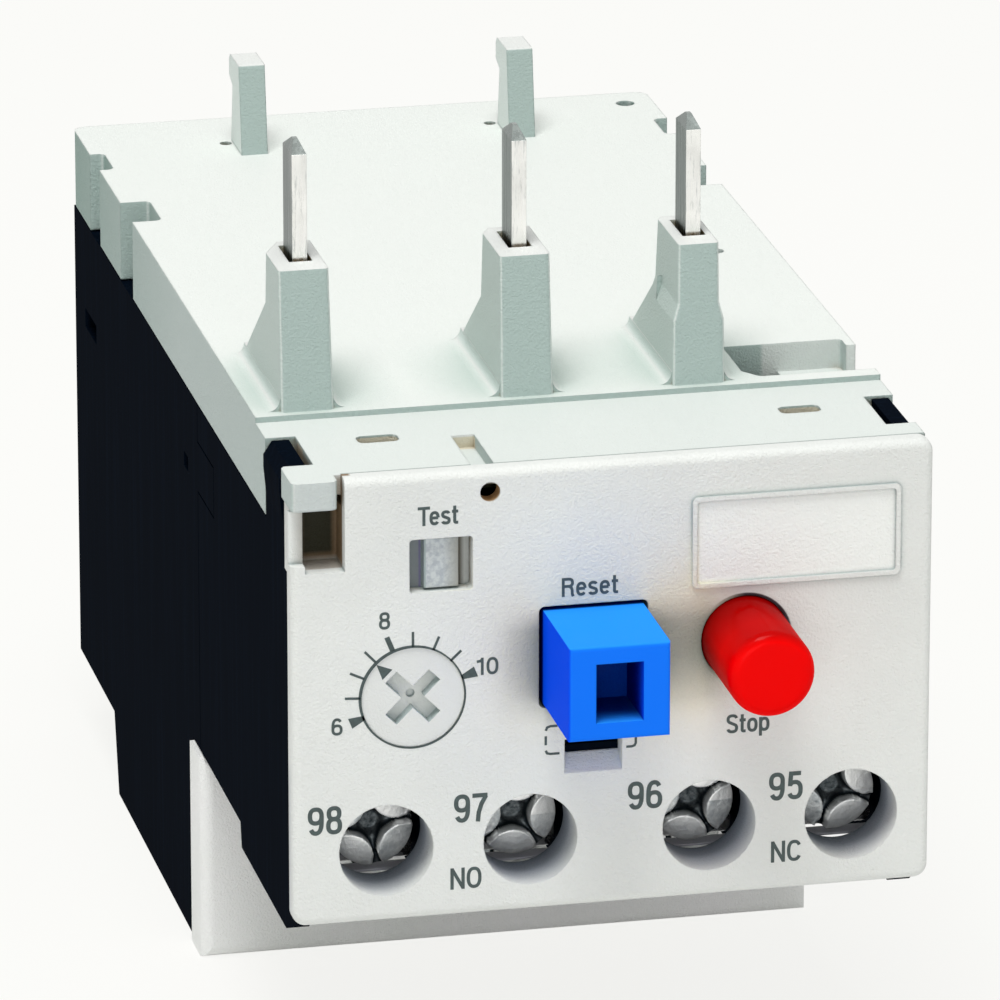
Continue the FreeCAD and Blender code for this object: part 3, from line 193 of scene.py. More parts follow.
class MarkSettings(bpy.types.PropertyGroup):
    """Sizes of the printed marks."""

    ink_thickness: bpy.props.FloatProperty(
        name="Ink thickness",
        description="How far the print stands on the surface",
        unit="LENGTH",
        min=0.000005,
        max=0.0001,
        default=0.000015,
        precision=6,
    )
    tick_length: bpy.props.FloatProperty(
        name="Tick length",
        description="Length of the marks round the setting dial",
        unit="LENGTH",
        min=0.0002,
        max=0.003,
        default=0.00115,
        precision=5,
    )
    tick_width: bpy.props.FloatProperty(
        name="Tick width",
        description="Width of a thin mark round the setting dial",
        unit="LENGTH",
        min=0.00005,
        max=0.001,
        default=0.00017,
        precision=5,
    )


class ScrewSettings(bpy.types.PropertyGroup):
    """Shape of the terminal screws."""

    thread_pitch: bpy.props.FloatProperty(
        name="Thread pitch",
        description="Pitch of the screw threads",
        unit="LENGTH",
        min=0.0003,
        max=0.001,
        default=0.0006,
        precision=5,
    )
    dome: bpy.props.FloatProperty(
        name="Head dome",
        description="How far the middle of a head stands above its edge, as a part of its height",
        min=0.0,
        max=0.5,
        default=0.16,
    )


class StudioSettings(bpy.types.PropertyGroup):
    """Camera and lights."""

    camera_place: bpy.props.FloatVectorProperty(
        name="Camera place",
        description="Where the camera stands",
        subtype="XYZ",
        unit="LENGTH",
        size=3,
        default=(-0.144392, -0.654013, 0.260024),
    )
    camera_turn: bpy.props.FloatVectorProperty(
        name="Camera turn",
        description="Tilt, roll and heading of the camera",
        subtype="EULER",
        unit="ROTATION",
        size=3,
        default=(math.radians(71.191), 0.0, math.radians(-12.496)),
    )
    lens: bpy.props.FloatProperty(
        name="Lens",
        description="Focal length in millimetres on a 36 mm sensor",
        min=20.0,
        max=600.0,
        default=353.2,
    )
    key_power: bpy.props.FloatProperty(
        name="Key light",
        description="Power of the large light above the relay",
        subtype="POWER",
        min=0.0,
        max=50.0,
        default=5.7,
    )
    fill_power: bpy.props.FloatProperty(
        name="Fill light",
        description="Power of the light in front of the relay",
        subtype="POWER",
        min=0.0,
        max=50.0,
        default=2.1,
    )
    ambient: bpy.props.FloatProperty(
        name="Ambient light",
        description="Strength of the even light from all round",
        min=0.0,
        max=2.0,
        default=0.45,
    )


# ---------------------------------------------------------------- material nodes
# Sockets of a Mix node that mixes colours.
MIX_FACTOR, MIX_FIRST, MIX_SECOND, MIX_RESULT = 0, 6, 7, 2

# The axis a face looks along, and where its share starts and ends.
FRONTWARD = ("Y", -0.60, -0.92)
LEFTWARD = ("X", -0.60, -0.92)
RIGHTWARD = ("X", 0.60, 0.92)
UPWARD = ("Z", 0.70, 0.95)


class Finish:
    """A node material with helpers that lay down and join its nodes."""

    def __init__(self, name):
        self.material = bpy.data.materials.new(name)
        self.material.use_nodes = True
        self.nodes = self.material.node_tree.nodes
        self.links = self.material.node_tree.links
        self.nodes.clear()
        self.shader = self.nodes.new("ShaderNodeBsdfPrincipled")
        output = self.nodes.new("ShaderNodeOutputMaterial")
        self.links.new(self.shader.outputs["BSDF"], output.inputs["Surface"])
        source = self.nodes.new("ShaderNodeTexCoord")
        self.place = source.outputs["Object"]
        self.facing = source.outputs["Normal"]
        self.tone = None
        self.shape = None

    def set(self, **values):
        """Values that are the same all over the surface, by the shader's socket names."""
        for name, value in values.items():
            self.shader.inputs[name.replace("_", " ")].default_value = value
        return self

    def stretched(self, size):
        """The object's own coordinates, scaled along each axis."""
        mapping = self.nodes.new("ShaderNodeMapping")
        mapping.inputs["Scale"].default_value = size
        self.links.new(self.place, mapping.inputs["Vector"])
        return mapping.outputs["Vector"]

    def noise(self, scale, detail=2.0, roughness=0.5, place=None):
        """A cloudy pattern."""
        node = self.nodes.new("ShaderNodeTexNoise")
        node.inputs["Scale"].default_value = scale
        node.inputs["Detail"].default_value = detail
        node.inputs["Roughness"].default_value = roughness
        self.links.new(place or self.place, node.inputs["Vector"])
        return node.outputs["Fac"]

    def between(self, value, low, high, start=0.3, end=0.7):
        """A value spread over a range."""
        node = self.nodes.new("ShaderNodeMapRange")
        node.inputs["From Min"].default_value = start
        node.inputs["From Max"].default_value = end
        node.inputs["To Min"].default_value = low
        node.inputs["To Max"].default_value = high
        self.links.new(value, node.inputs["Value"])
        return node.outputs["Result"]

    def along(self, vector, axis, low, high):
        """A value from 0 to 1 as one component of a vector goes from low to high."""
        split = self.nodes.new("ShaderNodeSeparateXYZ")
        self.links.new(vector, split.inputs["Vector"])
        return self.between(split.outputs[axis], 0.0, 1.0, low, high)

    def at(self, axis, low, high):
        """A value from 0 to 1 as the place along an axis goes from low to high."""
        return self.along(self.place, axis, low, high)

    def turned(self, axis, low, high):
        """A value from 0 to 1 as the surface turns to face along an axis."""
        return self.along(self.facing, axis, low, high)

    def zone(self, **fades):
        """The product of fades, each from low to high, along the axes named."""
        return self.both(*(self.at(axis, *fade) for axis, pairs in fades.items() for fade in pairs))

    def around(self, centre, low, high):
        """A value from 0 to 1 as the distance from an axis along Y goes from low to high."""
        split = self.nodes.new("ShaderNodeSeparateXYZ")
        flat = self.nodes.new("ShaderNodeCombineXYZ")
        away = self.nodes.new("ShaderNodeVectorMath")
        away.operation = "DISTANCE"
        away.inputs[1].default_value = (centre[0], centre[1], 0.0)
        self.links.new(self.place, split.inputs["Vector"])
        self.links.new(split.outputs["X"], flat.inputs["X"])
        self.links.new(split.outputs["Z"], flat.inputs["Y"])
        self.links.new(flat.outputs["Vector"], away.inputs[0])
        return self.between(away.outputs["Value"], 0.0, 1.0, low, high)

    def both(self, *values):
        """The product of values, which is high only where all of them are."""
        result = values[0]
        for value in values[1:]:
            node = self.nodes.new("ShaderNodeMath")
            node.operation = "MULTIPLY"
            self.links.new(result, node.inputs[0])
            self.links.new(value, node.inputs[1])
            result = node.outputs["Value"]
        return result

    def hollow(self, reach, shut, open_at):
        """A value that rises from 0 to 1 as the surface lies deeper in a hollow of about this reach."""
        node = self.nodes.new("ShaderNodeAmbientOcclusion")
        node.samples = 8
        node.inputs["Distance"].default_value = reach
        return self.between(node.outputs["AO"], 1.0, 0.0, shut, open_at)

    def stored(self, name):
        """A value kept on the mesh."""
        node = self.nodes.new("ShaderNodeAttribute")
        node.attribute_name = name
        return node.outputs["Fac"]

    def mix(self, value, second):
        """A base colour that turns to a second one where a value is high; returns the first one's socket."""
        node = self.nodes.new("ShaderNodeMix")
        node.data_type = "RGBA"
        node.inputs[MIX_SECOND].default_value = (*second, 1.0)
        self.links.new(value, node.inputs[MIX_FACTOR])
        self.tone = node.outputs[MIX_RESULT]
        self.links.new(self.tone, self.shader.inputs["Base Color"])
        return node.inputs[MIX_FIRST]

    def colour(self, value, first, second):
        """Base colour that varies between two."""
        self.mix(value, second).default_value = (*first, 1.0)
        return self

    def tint(self, value, colour):
        """Base colour that turns to another where a value is high."""
        before = self.tone
        self.links.new(before, self.mix(value, colour))
        return self

    def roughness(self, value, low, high):
        """Roughness that varies between two."""
        self.links.new(self.between(value, low, high), self.shader.inputs["Roughness"])
        return self

    def rounded(self, radius):
        """Edges that look rounded by a radius."""
        node = self.nodes.new("ShaderNodeBevel")
        node.samples = 6
        node.inputs["Radius"].default_value = radius
        self.shape = node.outputs["Normal"]
        self.links.new(self.shape, self.shader.inputs["Normal"])
        return self

    def bump(self, value, height, strength=1.0):
        """Relief of a given height in metres."""
        node = self.nodes.new("ShaderNodeBump")
        node.inputs["Strength"].default_value = strength
        node.inputs["Distance"].default_value = height
        self.links.new(value, node.inputs["Height"])
        if self.shape is not None:
            self.links.new(self.shape, node.inputs["Normal"])
        self.shape = node.outputs["Normal"]
        self.links.new(self.shape, self.shader.inputs["Normal"])
        return self


def shade(colour, factor):
    """A colour made lighter or darker."""
    return tuple(min(1.0, max(0.0, part * factor)) for part in colour)


def moulded_plastic(name, colour, grain, relief, rough, edge, gloss=0.0, sheen=0.30):
    """Injection-moulded plastic with a spark-eroded grain."""
    finish = Finish(name)
    finish.rounded(edge)
    fine = finish.noise(1.0 / grain, detail=3.0, roughness=0.6)
    broad = finish.noise(90.0, detail=3.0)
    finish.colour(finish.between(broad, 0.0, 1.0), shade(colour, 0.97), shade(colour, 1.03))
    finish.roughness(fine, rough - 0.06, rough + 0.08)
    finish.bump(fine, relief)
    finish.bump(broad, relief * 2.0, strength=0.5)
    finish.set(IOR=1.49, Specular_IOR_Level=sheen, Coat_Weight=gloss, Coat_Roughness=0.18)
    return finish


# Metals: colour, roughness, how closely their lines lie along each axis, relief and rounding of edges.
METALS = {
    "plated_steel": ((0.70, 0.71, 0.70), 0.24, (900.0, 900.0, 900.0), 0.012 * MM, 0.10 * MM),
    "screw_steel": ((0.70, 0.71, 0.70), 0.42, (900.0, 900.0, 900.0), 0.012 * MM, 0.03 * MM),
    "spring_steel": ((0.58, 0.58, 0.58), 0.26, (1500.0, 1500.0, 1500.0), 0.006 * MM, 0.03 * MM),
    "tinned_copper": ((0.86, 0.86, 0.83), 0.26, (2600.0, 2600.0, 70.0), 0.012 * MM, 0.08 * MM),
    "brass": ((0.72, 0.52, 0.22), 0.30, (1800.0, 90.0, 1800.0), 0.008 * MM, 0.10 * MM),
    "contact_bronze": ((0.70, 0.45, 0.26), 0.28, (90.0, 2000.0, 2000.0), 0.006 * MM, 0.05 * MM),
    "bimetal": ((0.50, 0.48, 0.45), 0.34, (1800.0, 1800.0, 60.0), 0.008 * MM, 0.08 * MM),
    "heater_alloy": ((0.40, 0.37, 0.34), 0.38, (1500.0, 80.0, 1500.0), 0.010 * MM, 0.10 * MM),
}


def drawn_metal(name):
    """Rolled or drawn metal with fine lines along one axis."""
    colour, rough, stretch, relief, edge = METALS[name]
    finish = Finish(name)
    finish.rounded(edge)
    lines = finish.noise(1.0, detail=4.0, roughness=0.65, place=finish.stretched(stretch))
    cloud = finish.noise(420.0, detail=3.0)
    finish.colour(finish.between(cloud, 0.0, 1.0), shade(colour, 0.86), shade(colour, 1.08))
    finish.roughness(lines, rough - 0.08, rough + 0.14)
    finish.bump(lines, relief)
    finish.set(Metallic=1.0, Anisotropic=0.35)
    return finish


def give(node, finish):
    """A CAD node takes a finish in its own material slots."""
    mesh = frame["nodes"][node].data
    mesh.materials.clear()
    mesh.materials.append(finish.material)


# ---------------------------------------------------------------- mesh helpers
# Each further stroke of a print is thicker by this share, so that crossings stay clean.
STROKE_STEP = 0.04
# A stroke's half width is divided by a corner's cosine, which counts as no less than this.
SHARPEST_CORNER = 0.5


def piece(name, mesh, body, material, smooth=True):
    """A new piece that rides on a body and takes a material."""
    made = bpy.data.objects.new(name, mesh)
    bpy.context.scene.collection.objects.link(made)
    mesh.materials.append(material)
    if smooth:
        mesh.shade_smooth()
    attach(made, body)
    return made


def finished_mesh(name, build):
    """The mesh that has been built, with its faces looking outward."""
    bmesh.ops.recalc_face_normals(build, faces=build.faces)
    mesh = bpy.data.meshes.new(name)
    build.to_mesh(mesh)
    build.free()
    return mesh


def grid_mesh(name, rows):
    """A capped skin through closed rows of points."""
    build = bmesh.new()
    layers = [[build.verts.new(point) for point in row] for row in rows]
    count = len(layers[0])
    for first, second in zip(layers, layers[1:]):
        for number in range(count):
            after = (number + 1) % count
            build.faces.new((first[number], first[after], second[after], second[number]))
    build.faces.new(list(reversed(layers[0])))
    build.faces.new(layers[-1])
    return finished_mesh(name, build)


def stroke_mesh(name, strokes, weight, face_y, thickness, swell=None):
    """Thin ribbons in the plane of the front, along lines of (x, z) points.

    A ribbon is as wide as its weight, or swells along its length.
    """
    build = bmesh.new()
    for number, line in enumerate(strokes):
        closed = math.dist(line[0], line[-1]) < 0.01 * weight
        points = [Vector(point) for point in (line[:-1] if closed else line)]
        last = len(points) - 1
        lift = thickness * (1 + STROKE_STEP * number)
        rows = []
        for place, point in enumerate(points):
            before = points[place - 1] if place > 0 or closed else point
            after = points[(place + 1) % len(points)] if place < last or closed else point
            first = (point - before).normalized() if point != before else (after - point).normalized()
            second = (after - point).normalized() if after != point else first
            side = Vector((-(first.y + second.y), first.x + second.x)).normalized()
            half = weight / 2 / max(SHARPEST_CORNER, side.dot(Vector((-first.y, first.x))))
            half *= swell(place / len(points)) if swell else 1.0
            edges = (point + side * half, point - side * half)
            row = [build.verts.new((edge.x, face_y - lift, edge.y)) for edge in edges]
            row += [build.verts.new((edge.x, face_y, edge.y)) for edge in reversed(edges)]
            rows.append(row)
        pairs = list(zip(rows, rows[1:])) + ([(rows[-1], rows[0])] if closed else [])
        for row, other in pairs:
            for corner in range(4):
                after = (corner + 1) % 4
                build.faces.new((row[corner], row[after], other[after], other[corner]))
        if not closed:
            build.faces.new(list(reversed(rows[0])))
            build.faces.new(rows[-1])
    return finished_mesh(name, build)


def flat_mark(name, loops, face_y, thickness):
    """Thin plates in the plane of the front, from outlines of (x, z) points."""
    build = bmesh.new()
    for loop in loops:
        front = [build.verts.new((x, face_y - thickness, z)) for x, z in loop]
        back = [build.verts.new((x, face_y, z)) for x, z in loop]
        build.faces.new(front)
        build.faces.new(list(reversed(back)))
        for number in range(len(loop)):
            after = (number + 1) % len(loop)
            build.faces.new((front[number], back[number], back[after], front[after]))
    return finished_mesh(name, build)


def ring_row(x, z, sectors, place):
    """Points round an axis along Y; place gives the radius and the level for a sector and its angle."""
    row = []
    for sector in range(sectors):
        angle = sector / sectors * math.tau
        reach, level = place(sector, angle)
        row.append((x + reach * math.cos(angle), level, z + reach * math.sin(angle)))
    return row


def round_wire_coil(name, axis, start, length, radius, wire, turns):
    """A compression spring with closed, squared ends, along X or Y from a start point."""
    steps = int(turns * 36)
    sides = 12
    rows = []
    for step in range(steps + 1):
        part = step / steps
        angle = part * turns * math.tau
        eased = min(max((part * turns - 0.8) / (turns - 1.6), 0.0), 1.0)
        along = wire + (length - 2 * wire) * eased
        outward = (math.cos(angle), math.sin(angle))
        row = []
        for side in range(sides):
            turn = side / sides * math.tau
            reach = radius + wire * math.cos(turn)
            lift = along + wire * math.sin(turn)
            if axis == "Y":
                row.append((start[0] + reach * outward[0], start[1] + lift, start[2] + reach * outward[1]))
            else:
                row.append((start[0] + lift, start[1] + reach * outward[0], start[2] + reach * outward[1]))
        rows.append(row)
    return grid_mesh(name, rows)


# ---------------------------------------------------------------- lettering
# Width of a stroke and gap between letters, for capitals 1 high.
STROKE = 0.15
LETTER_GAP = 0.075
# How squarish the letters' ovals are; 1 is a true oval.
SQUARENESS = 0.82


def oval(centre_x, centre_z, half_width, half_height, start, end):
    """Points on a squarish oval from one angle in degrees to another."""
    steps = max(4, int(abs(end - start) / 12))
    points = []
    for step in range(steps + 1):
        angle = math.radians(start + (end - start) * step / steps)
        across = math.copysign(abs(math.cos(angle)) ** SQUARENESS, math.cos(angle))
        up = math.copysign(abs(math.sin(angle)) ** SQUARENESS, math.sin(angle))
        points.append((centre_x + half_width * across, centre_z + half_height * up))
    return points


def letter_strokes():
    """Narrow upright letters, a capital being 1 high: each one's advance and its strokes' middle lines."""
    half = STROKE / 2
    top = 1 - half
    letters = {
        "T": (0.50, [[(0, top), (0.60, top)], [(0.30, top), (0.30, 0)]]),
        "R": (0.60, [
            [(half, 0), (half, 1)],
            [(half, top), (0.32, top)] + oval(0.32, 0.735, 0.19, 0.19, 90, -90) + [(half, 0.545)],
            [(0.34, 0.545), (0.45, 0.48), (0.49, 0.36), (0.50, 0.14), (0.54, 0)],
        ]),
        "S": (0.58, [
            oval(0.29, 0.735, 0.21, 0.19, 12, 232) + oval(0.29, 0.27, 0.215, 0.195, 52, -168),
        ]),
        "N": (0.62, [[(half, 0), (half, 1)], [(0.545, 0), (0.545, 1)], [(half, 0.96), (0.545, 0.04)]]),
        "C": (0.62, [oval(0.32, 0.5, 0.245, 0.425, 32, 328)]),
        "O": (0.64, [oval(0.32, 0.5, 0.245, 0.425, 0, 360)]),
        "e": (0.50, [[(half, 0.385), (0.425, 0.385)], oval(0.25, 0.37, 0.175, 0.295, 3, 322)]),
        "s": (0.46, [
            oval(0.23, 0.53, 0.155, 0.135, 18, 235) + oval(0.23, 0.21, 0.16, 0.135, 55, -165),
        ]),
        "t": (0.30, [
            [(0.13, 0.96), (0.13, 0.16)] + oval(0.215, 0.16, 0.085, 0.085, 190, 270) + [(0.30, half)],
            [(0, 0.665), (0.30, 0.665)],
        ]),
        "o": (0.52, [oval(0.26, 0.37, 0.185, 0.295, 0, 360)]),
        "p": (0.52, [[(half, -0.24), (half, 0.74)], oval(0.26, 0.37, 0.185, 0.295, 0, 360)]),
        "0": (0.54, [oval(0.27, 0.5, 0.195, 0.425, 0, 360)]),
        "1": (0.34, [[(0.25, 0), (0.25, 1)], [(0.25, 0.90), (0.17, 0.82), (0.02, 0.79)]]),
        "5": (0.54, [[(0.47, top), (0.14, top)], [(0.14, 1), (0.10, 0.48)],
                     oval(0.265, 0.345, 0.195, 0.27, 148, -155)]),
        "6": (0.54, [oval(0.27, 0.32, 0.195, 0.245, 0, 360),
                     [(half, 0.32)] + oval(0.27, 0.5, 0.195, 0.425, 180, 38)]),
        "7": (0.52, [[(0, top), (0.50, top)], [(0.45, 0.90), (0.30, 0.62), (0.21, 0.32), (0.18, 0)]]),
        "8": (0.54, [oval(0.27, 0.735, 0.175, 0.19, 0, 360), oval(0.27, 0.305, 0.195, 0.23, 0, 360)]),
        "9": (0.54, [oval(0.27, 0.68, 0.195, 0.245, 0, 360),
                     [(0.465, 0.68)] + oval(0.27, 0.5, 0.195, 0.425, 0, -142)]),
    }
    return letters


LETTERS = letter_strokes()


def word_mesh(name, words, centre, size, face_y, thickness):
    """Printed words as a thin mesh, centred on a place on the front; the height is that of a capital."""
    width = sum(LETTERS[letter][0] for letter in words) + LETTER_GAP * (len(words) - 1)
    scale_x = size[0] / width
    scale_z = size[1]
    strokes = []
    left = 0.0
    for letter in words:
        advance, letter_lines = LETTERS[letter]
        for line in letter_lines:
            strokes.append([
                (centre[0] + (left + x - width / 2) * scale_x, centre[1] + (z - 0.5) * scale_z)
                for x, z in line
            ])
        left += advance + LETTER_GAP
    return stroke_mesh(name, strokes, STROKE * size[1], face_y, thickness)


# ---------------------------------------------------------------- mouldings
# Colours that the pieces take on in places. Most of them are painted light and shade: faces painted lighter
# or darker by the way they face, painted shade in hollows, creases, gaps and tubes, painted shadows, and a
# painted glint, highlight and sheen on the screws.
TINTS = {
    "deck": (0.83, 0.865, 0.825),
    "painted_shade_by_posts": (0.50, 0.60, 0.55),
    "painted_shade_cover_hollow": (0.26, 0.17, 0.07),
    "painted_shade_cover_front": (0.39, 0.485, 0.455),
    "painted_shade_cover_side": (0.76, 0.84, 0.80),
    "painted_shade_post_side": (0.53, 0.62, 0.58),
    "painted_shade_skirt_side": (0.49, 0.57, 0.545),
    "painted_shade_skirt_rear": (0.25, 0.36, 0.32),
    "painted_shade_cap_front": (0.58, 0.63, 0.615),
    "strip": (0.745, 0.79, 0.755),
    "strip_joint": (0.34, 0.39, 0.37),
    "strip_slots": (0.72, 0.68, 0.54),
    "pocket_wall": (0.66, 0.71, 0.68),
    "painted_shade_tube_mouth": (0.36, 0.395, 0.46),
    "painted_shade_tube_depth": (0.016, 0.030, 0.040),
    "painted_shade_plate_hollow": (0.20, 0.13, 0.05),
    "painted_shade_plate_crease": (0.40, 0.46, 0.45),
    "seal_hole": (0.50, 0.31, 0.15),
    "stop_gap_painted_shadow": (0.035, 0.022, 0.030),
    "warm_painted_shade_by_reset": (0.84, 0.80, 0.62),
    "shade_by_reset": (0.16, 0.19, 0.15),
    "label_field": (0.92, 0.945, 0.91),
    "receptacle_edge_painted_shade": (0.24, 0.16, 0.09),
    "receptacle_painted_shadow": (0.016, 0.015, 0.004),
    "housing_bottom": (0.10, 0.12, 0.035),
    "painted_shade_dial_hollow": (0.56, 0.61, 0.62),
    "painted_shade_dial_slot_wall": (0.46, 0.53, 0.52),
    "painted_light_blue_top": (0.020, 0.290, 1.0),
    "painted_shade_blue_left": (0.002, 0.080, 0.98),
    "painted_shade_blue_socket": (0.0, 0.001, 0.14),
    "painted_shade_red_top": (0.50, 0.0, 0.0),
    "painted_shade_red_foot": (0.22, 0.0, 0.0),
    "slider_face": (0.60, 0.64, 0.63),
    "slider_mottle": (0.44, 0.48, 0.50),
    "slider_shade": (0.34, 0.34, 0.30),
    "slider_edge": (0.36, 0.43, 0.42),
    "slider_stripe": (0.21, 0.20, 0.33),
    "painted_shadow_slider_left": (0.26, 0.29, 0.30),
    "slider_right": (0.55, 0.57, 0.55),
    "painted_shadow_slider_foot": (0.06, 0.045, 0.020),
    # The screws' tints: a painted glint on the lands, wear with a painted highlight on their edges, painted
    # shade in the flutes and painted sheen on their floors.
    "land_painted_glint": (1.0, 1.0, 0.98),
    "worn_edge_highlight": (0.96, 0.97, 0.96),
    "flute_painted_shade": (0.012, 0.020, 0.026),
    "flute_painted_sheen": (0.30, 0.33, 0.34),
    "tin_scratches": (0.34, 0.37, 0.37),
    "painted_shade_tin_side": (0.105, 0.125, 0.120),
    "painted_shade_tin_tip": (0.27, 0.30, 0.29),
}
# How much lighter or darker each moulding is than the cover's colour. The terminal cover's lighter tone is
# painted light, for the light that the front box keeps off it.
COVER_TONE = 0.97
LOWER_PAINTED_LIGHT_TONE = 1.22
PLATE_TONE = 1.005
DIAL_TONE = 0.94
# The cover's edges are rounder than the plates'.
COVER_EDGE = 1.6


class RELAY_OT_finish_cover(bpy.types.Operator):
    """Give the top cover, front plate and terminal cover their grained light grey plastic"""

    bl_idname = "overload_relay.finish_cover"
    bl_label = "Cover and Plates"

    def execute(self, context):
        settings = context.scene.overload_relay_finish
        rounder = settings.edge_radius * COVER_EDGE
        cover = self.light_grey("light_grey_plastic", settings, rounder, COVER_TONE)
        self.shade_uprights(cover)
        self.shade_deck(cover)
        self.shade_strip(cover)
        # Painted brown shade in the cover's small hollows.
        cover.tint(cover.hollow(1.2 * MM, 0.12, 0.46), TINTS["painted_shade_cover_hollow"])
        give("top_cover", cover)
        # The terminal cover's lighter tone is painted light.
        lower = self.light_grey("light_grey_panel", settings, settings.edge_radius, LOWER_PAINTED_LIGHT_TONE)
        give("terminal_cover", lower)
        plate = self.light_grey("light_grey_plate", settings, settings.edge_radius, PLATE_TONE)
        self.shade_tubes_and_creases(plate)
        self.shade_openings(plate)
        self.shade_label(plate)
        self.paint_receptacle_shade(plate)
        give("front_plate", plate)
        return {"FINISHED"}

    def light_grey(self, name, settings, edge, tone):
        """The shells' plastic."""
        return moulded_plastic(
            name,
            shade(settings.shell_colour, tone),
            settings.grain_size,
            relief=0.110 * MM,
            rough=0.52,
            edge=edge,
        )

    def shade_uprights(self, cover):
        """The cover's upright faces are a greener grey than its deck, most of all the skirt's rear end:
        painted shade, by the way the faces look.
        """
        depth = CAD_BOX[1].y - CAD_BOX[0].y
        behind_strip = cover.at("Y", PLATE_FACE + 8.0 * MM, PLATE_FACE + 9.0 * MM)
        # Painted shade on the faces that look forward and to the sides, darker on the posts' sides and
        # darkest on the skirt's rear end.
        cover.tint(cover.both(cover.turned(*FRONTWARD), behind_strip), TINTS["painted_shade_cover_front"])
        for direction in (LEFTWARD, RIGHTWARD):
            side = cover.turned(*direction)
            posts = cover.at("Y", PLATE_FACE + 30.0 * MM, PLATE_FACE + 25.0 * MM)
            skirt = cover.at("Z", DECK_TOP + 0.2 * MM, DECK_TOP - 0.2 * MM)
            rear = cover.at("Y", PLATE_FACE + 0.45 * depth, PLATE_FACE + 0.90 * depth)
            cover.tint(side, TINTS["painted_shade_cover_side"])
            cover.tint(cover.both(side, posts), TINTS["painted_shade_post_side"])
            cover.tint(cover.both(side, skirt), TINTS["painted_shade_skirt_side"])
            cover.tint(cover.both(side, skirt, rear), TINTS["painted_shade_skirt_rear"])

    def shade_deck(self, cover):
        """The deck is a plain light grey, painted lighter on its upward faces as painted light, and painted
        shade gathers round the feet of the posts.
        """
        deck = cover.both(cover.turned(*UPWARD), cover.at("Z", DECK_TOP + 0.3 * MM, DECK_TOP + 0.1 * MM))
        behind_plate = cover.at("Y", PLATE_FACE + 1.5 * MM, PLATE_FACE + 2.0 * MM)
        # Painted light: the deck's upward faces are lighter than the cover's other faces.
        cover.tint(cover.both(deck, behind_plate), TINTS["deck"])
        posts = cover.at("Y", PLATE_FACE + 45.0 * MM, PLATE_FACE + 40.0 * MM)
        # Painted shade round the feet of the posts.
        cover.tint(cover.both(deck, posts, cover.hollow(6.0 * MM, 0.50, 1.0)), TINTS["painted_shade_by_posts"])

    def shade_strip(self, cover):
        """The strip before the deck has a dark joint with the plate and brown slots; painted shade makes the
        cap's front greyer and darkens the pocket's front wall.
        """
        start = PLATE_FACE + STRIP_START
        cap_side = PLATE_LOW.x + CAP_WIDTH
        front = cover.turned(*FRONTWARD)
        # Painted shade on the cap's front face.
        cover.tint(cover.both(front, cover.at("Y", start, start - 0.2 * MM)), TINTS["painted_shade_cap_front"])
        lower = cover.at("Z", DECK_TOP - 0.1 * MM, DECK_TOP - 0.3 * MM)
        cover.tint(cover.both(cover.turned(*UPWARD), lower), TINTS["strip"])
        joint = cover.zone(
            Y=[(start - 0.06 * MM, start - 0.02 * MM), (start + 0.34 * MM, start + 0.22 * MM)],
            X=[(cap_side, cap_side + 0.1 * MM)],
        )
        cover.tint(joint, TINTS["strip_joint"])
        slots = cover.zone(
            Y=[(start + 6.1 * MM, start + 6.2 * MM), (start + 8.0 * MM, start + 7.9 * MM)],
            Z=[(DECK_TOP - 0.50 * MM, DECK_TOP - 0.60 * MM)],
        )
        cover.tint(slots, TINTS["strip_slots"])
        pocket = cover.zone(
            Y=[(start + 18.0 * MM, start + 18.2 * MM), (start + 22.0 * MM, start + 21.8 * MM)],
            X=[(PLATE_HIGH.x - 6.9 * MM, PLATE_HIGH.x - 6.6 * MM)],
        )
        # Painted shade on the pocket's front wall.
        cover.tint(cover.both(front, pocket), TINTS["pocket_wall"])

    def shade_tubes_and_creases(self, plate):
        """Painted shade: the terminal tubes are painted darker with their depth, and the face's hollows take
        a painted brown and grey shade.
        """
        face = plate.at("Z", TUBE_TOP, TUBE_TOP + 1.0 * MM)
        tubes = plate.at("Z", TUBE_TOP + 1.0 * MM, TUBE_TOP)
        head_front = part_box("aux_screw_98")[0].y
        mouth = plate.at("Y", PLATE_FACE + 0.2 * MM, PLATE_FACE + 3.0 * MM)
        deep = plate.at("Y", PLATE_FACE + 2.2 * MM, head_front + 0.4 * MM)
        # Painted shade in the tubes: lilac-grey by the mouth, nearly black by the screw heads.
        plate.tint(plate.both(tubes, mouth), TINTS["painted_shade_tube_mouth"])
        plate.tint(plate.both(tubes, deep), TINTS["painted_shade_tube_depth"])
        # Painted shade: brown in the face's hollows, grey in its creases.
        plate.tint(plate.both(face, plate.hollow(1.6 * MM, 0.10, 0.45)), TINTS["painted_shade_plate_hollow"])
        plate.tint(plate.both(face, plate.hollow(0.5 * MM, 0.50, 0.92)), TINTS["painted_shade_plate_crease"])

    def shade_openings(self, plate):
        """The seal hole's wall is brown, the stop button's gap takes a dark painted shadow, and painted
        shade gathers by the buttons.
        """
        behind_face = plate.at("Y", PLATE_FACE + 0.08 * MM, PLATE_FACE + 0.3 * MM)
        hole = plate.around(SEAL_HOLE, 1.1 * MM, 1.0 * MM)
        plate.tint(plate.both(hole, behind_face), TINTS["seal_hole"])
        stop = middle_of("stop_button")
        gap = plate.around((stop.x, stop.z), STOP_RADIUS + 0.30 * MM, STOP_RADIUS + 0.22 * MM)
        # Painted shadow in the gap round the stop button.
        plate.tint(gap, TINTS["stop_gap_painted_shadow"])
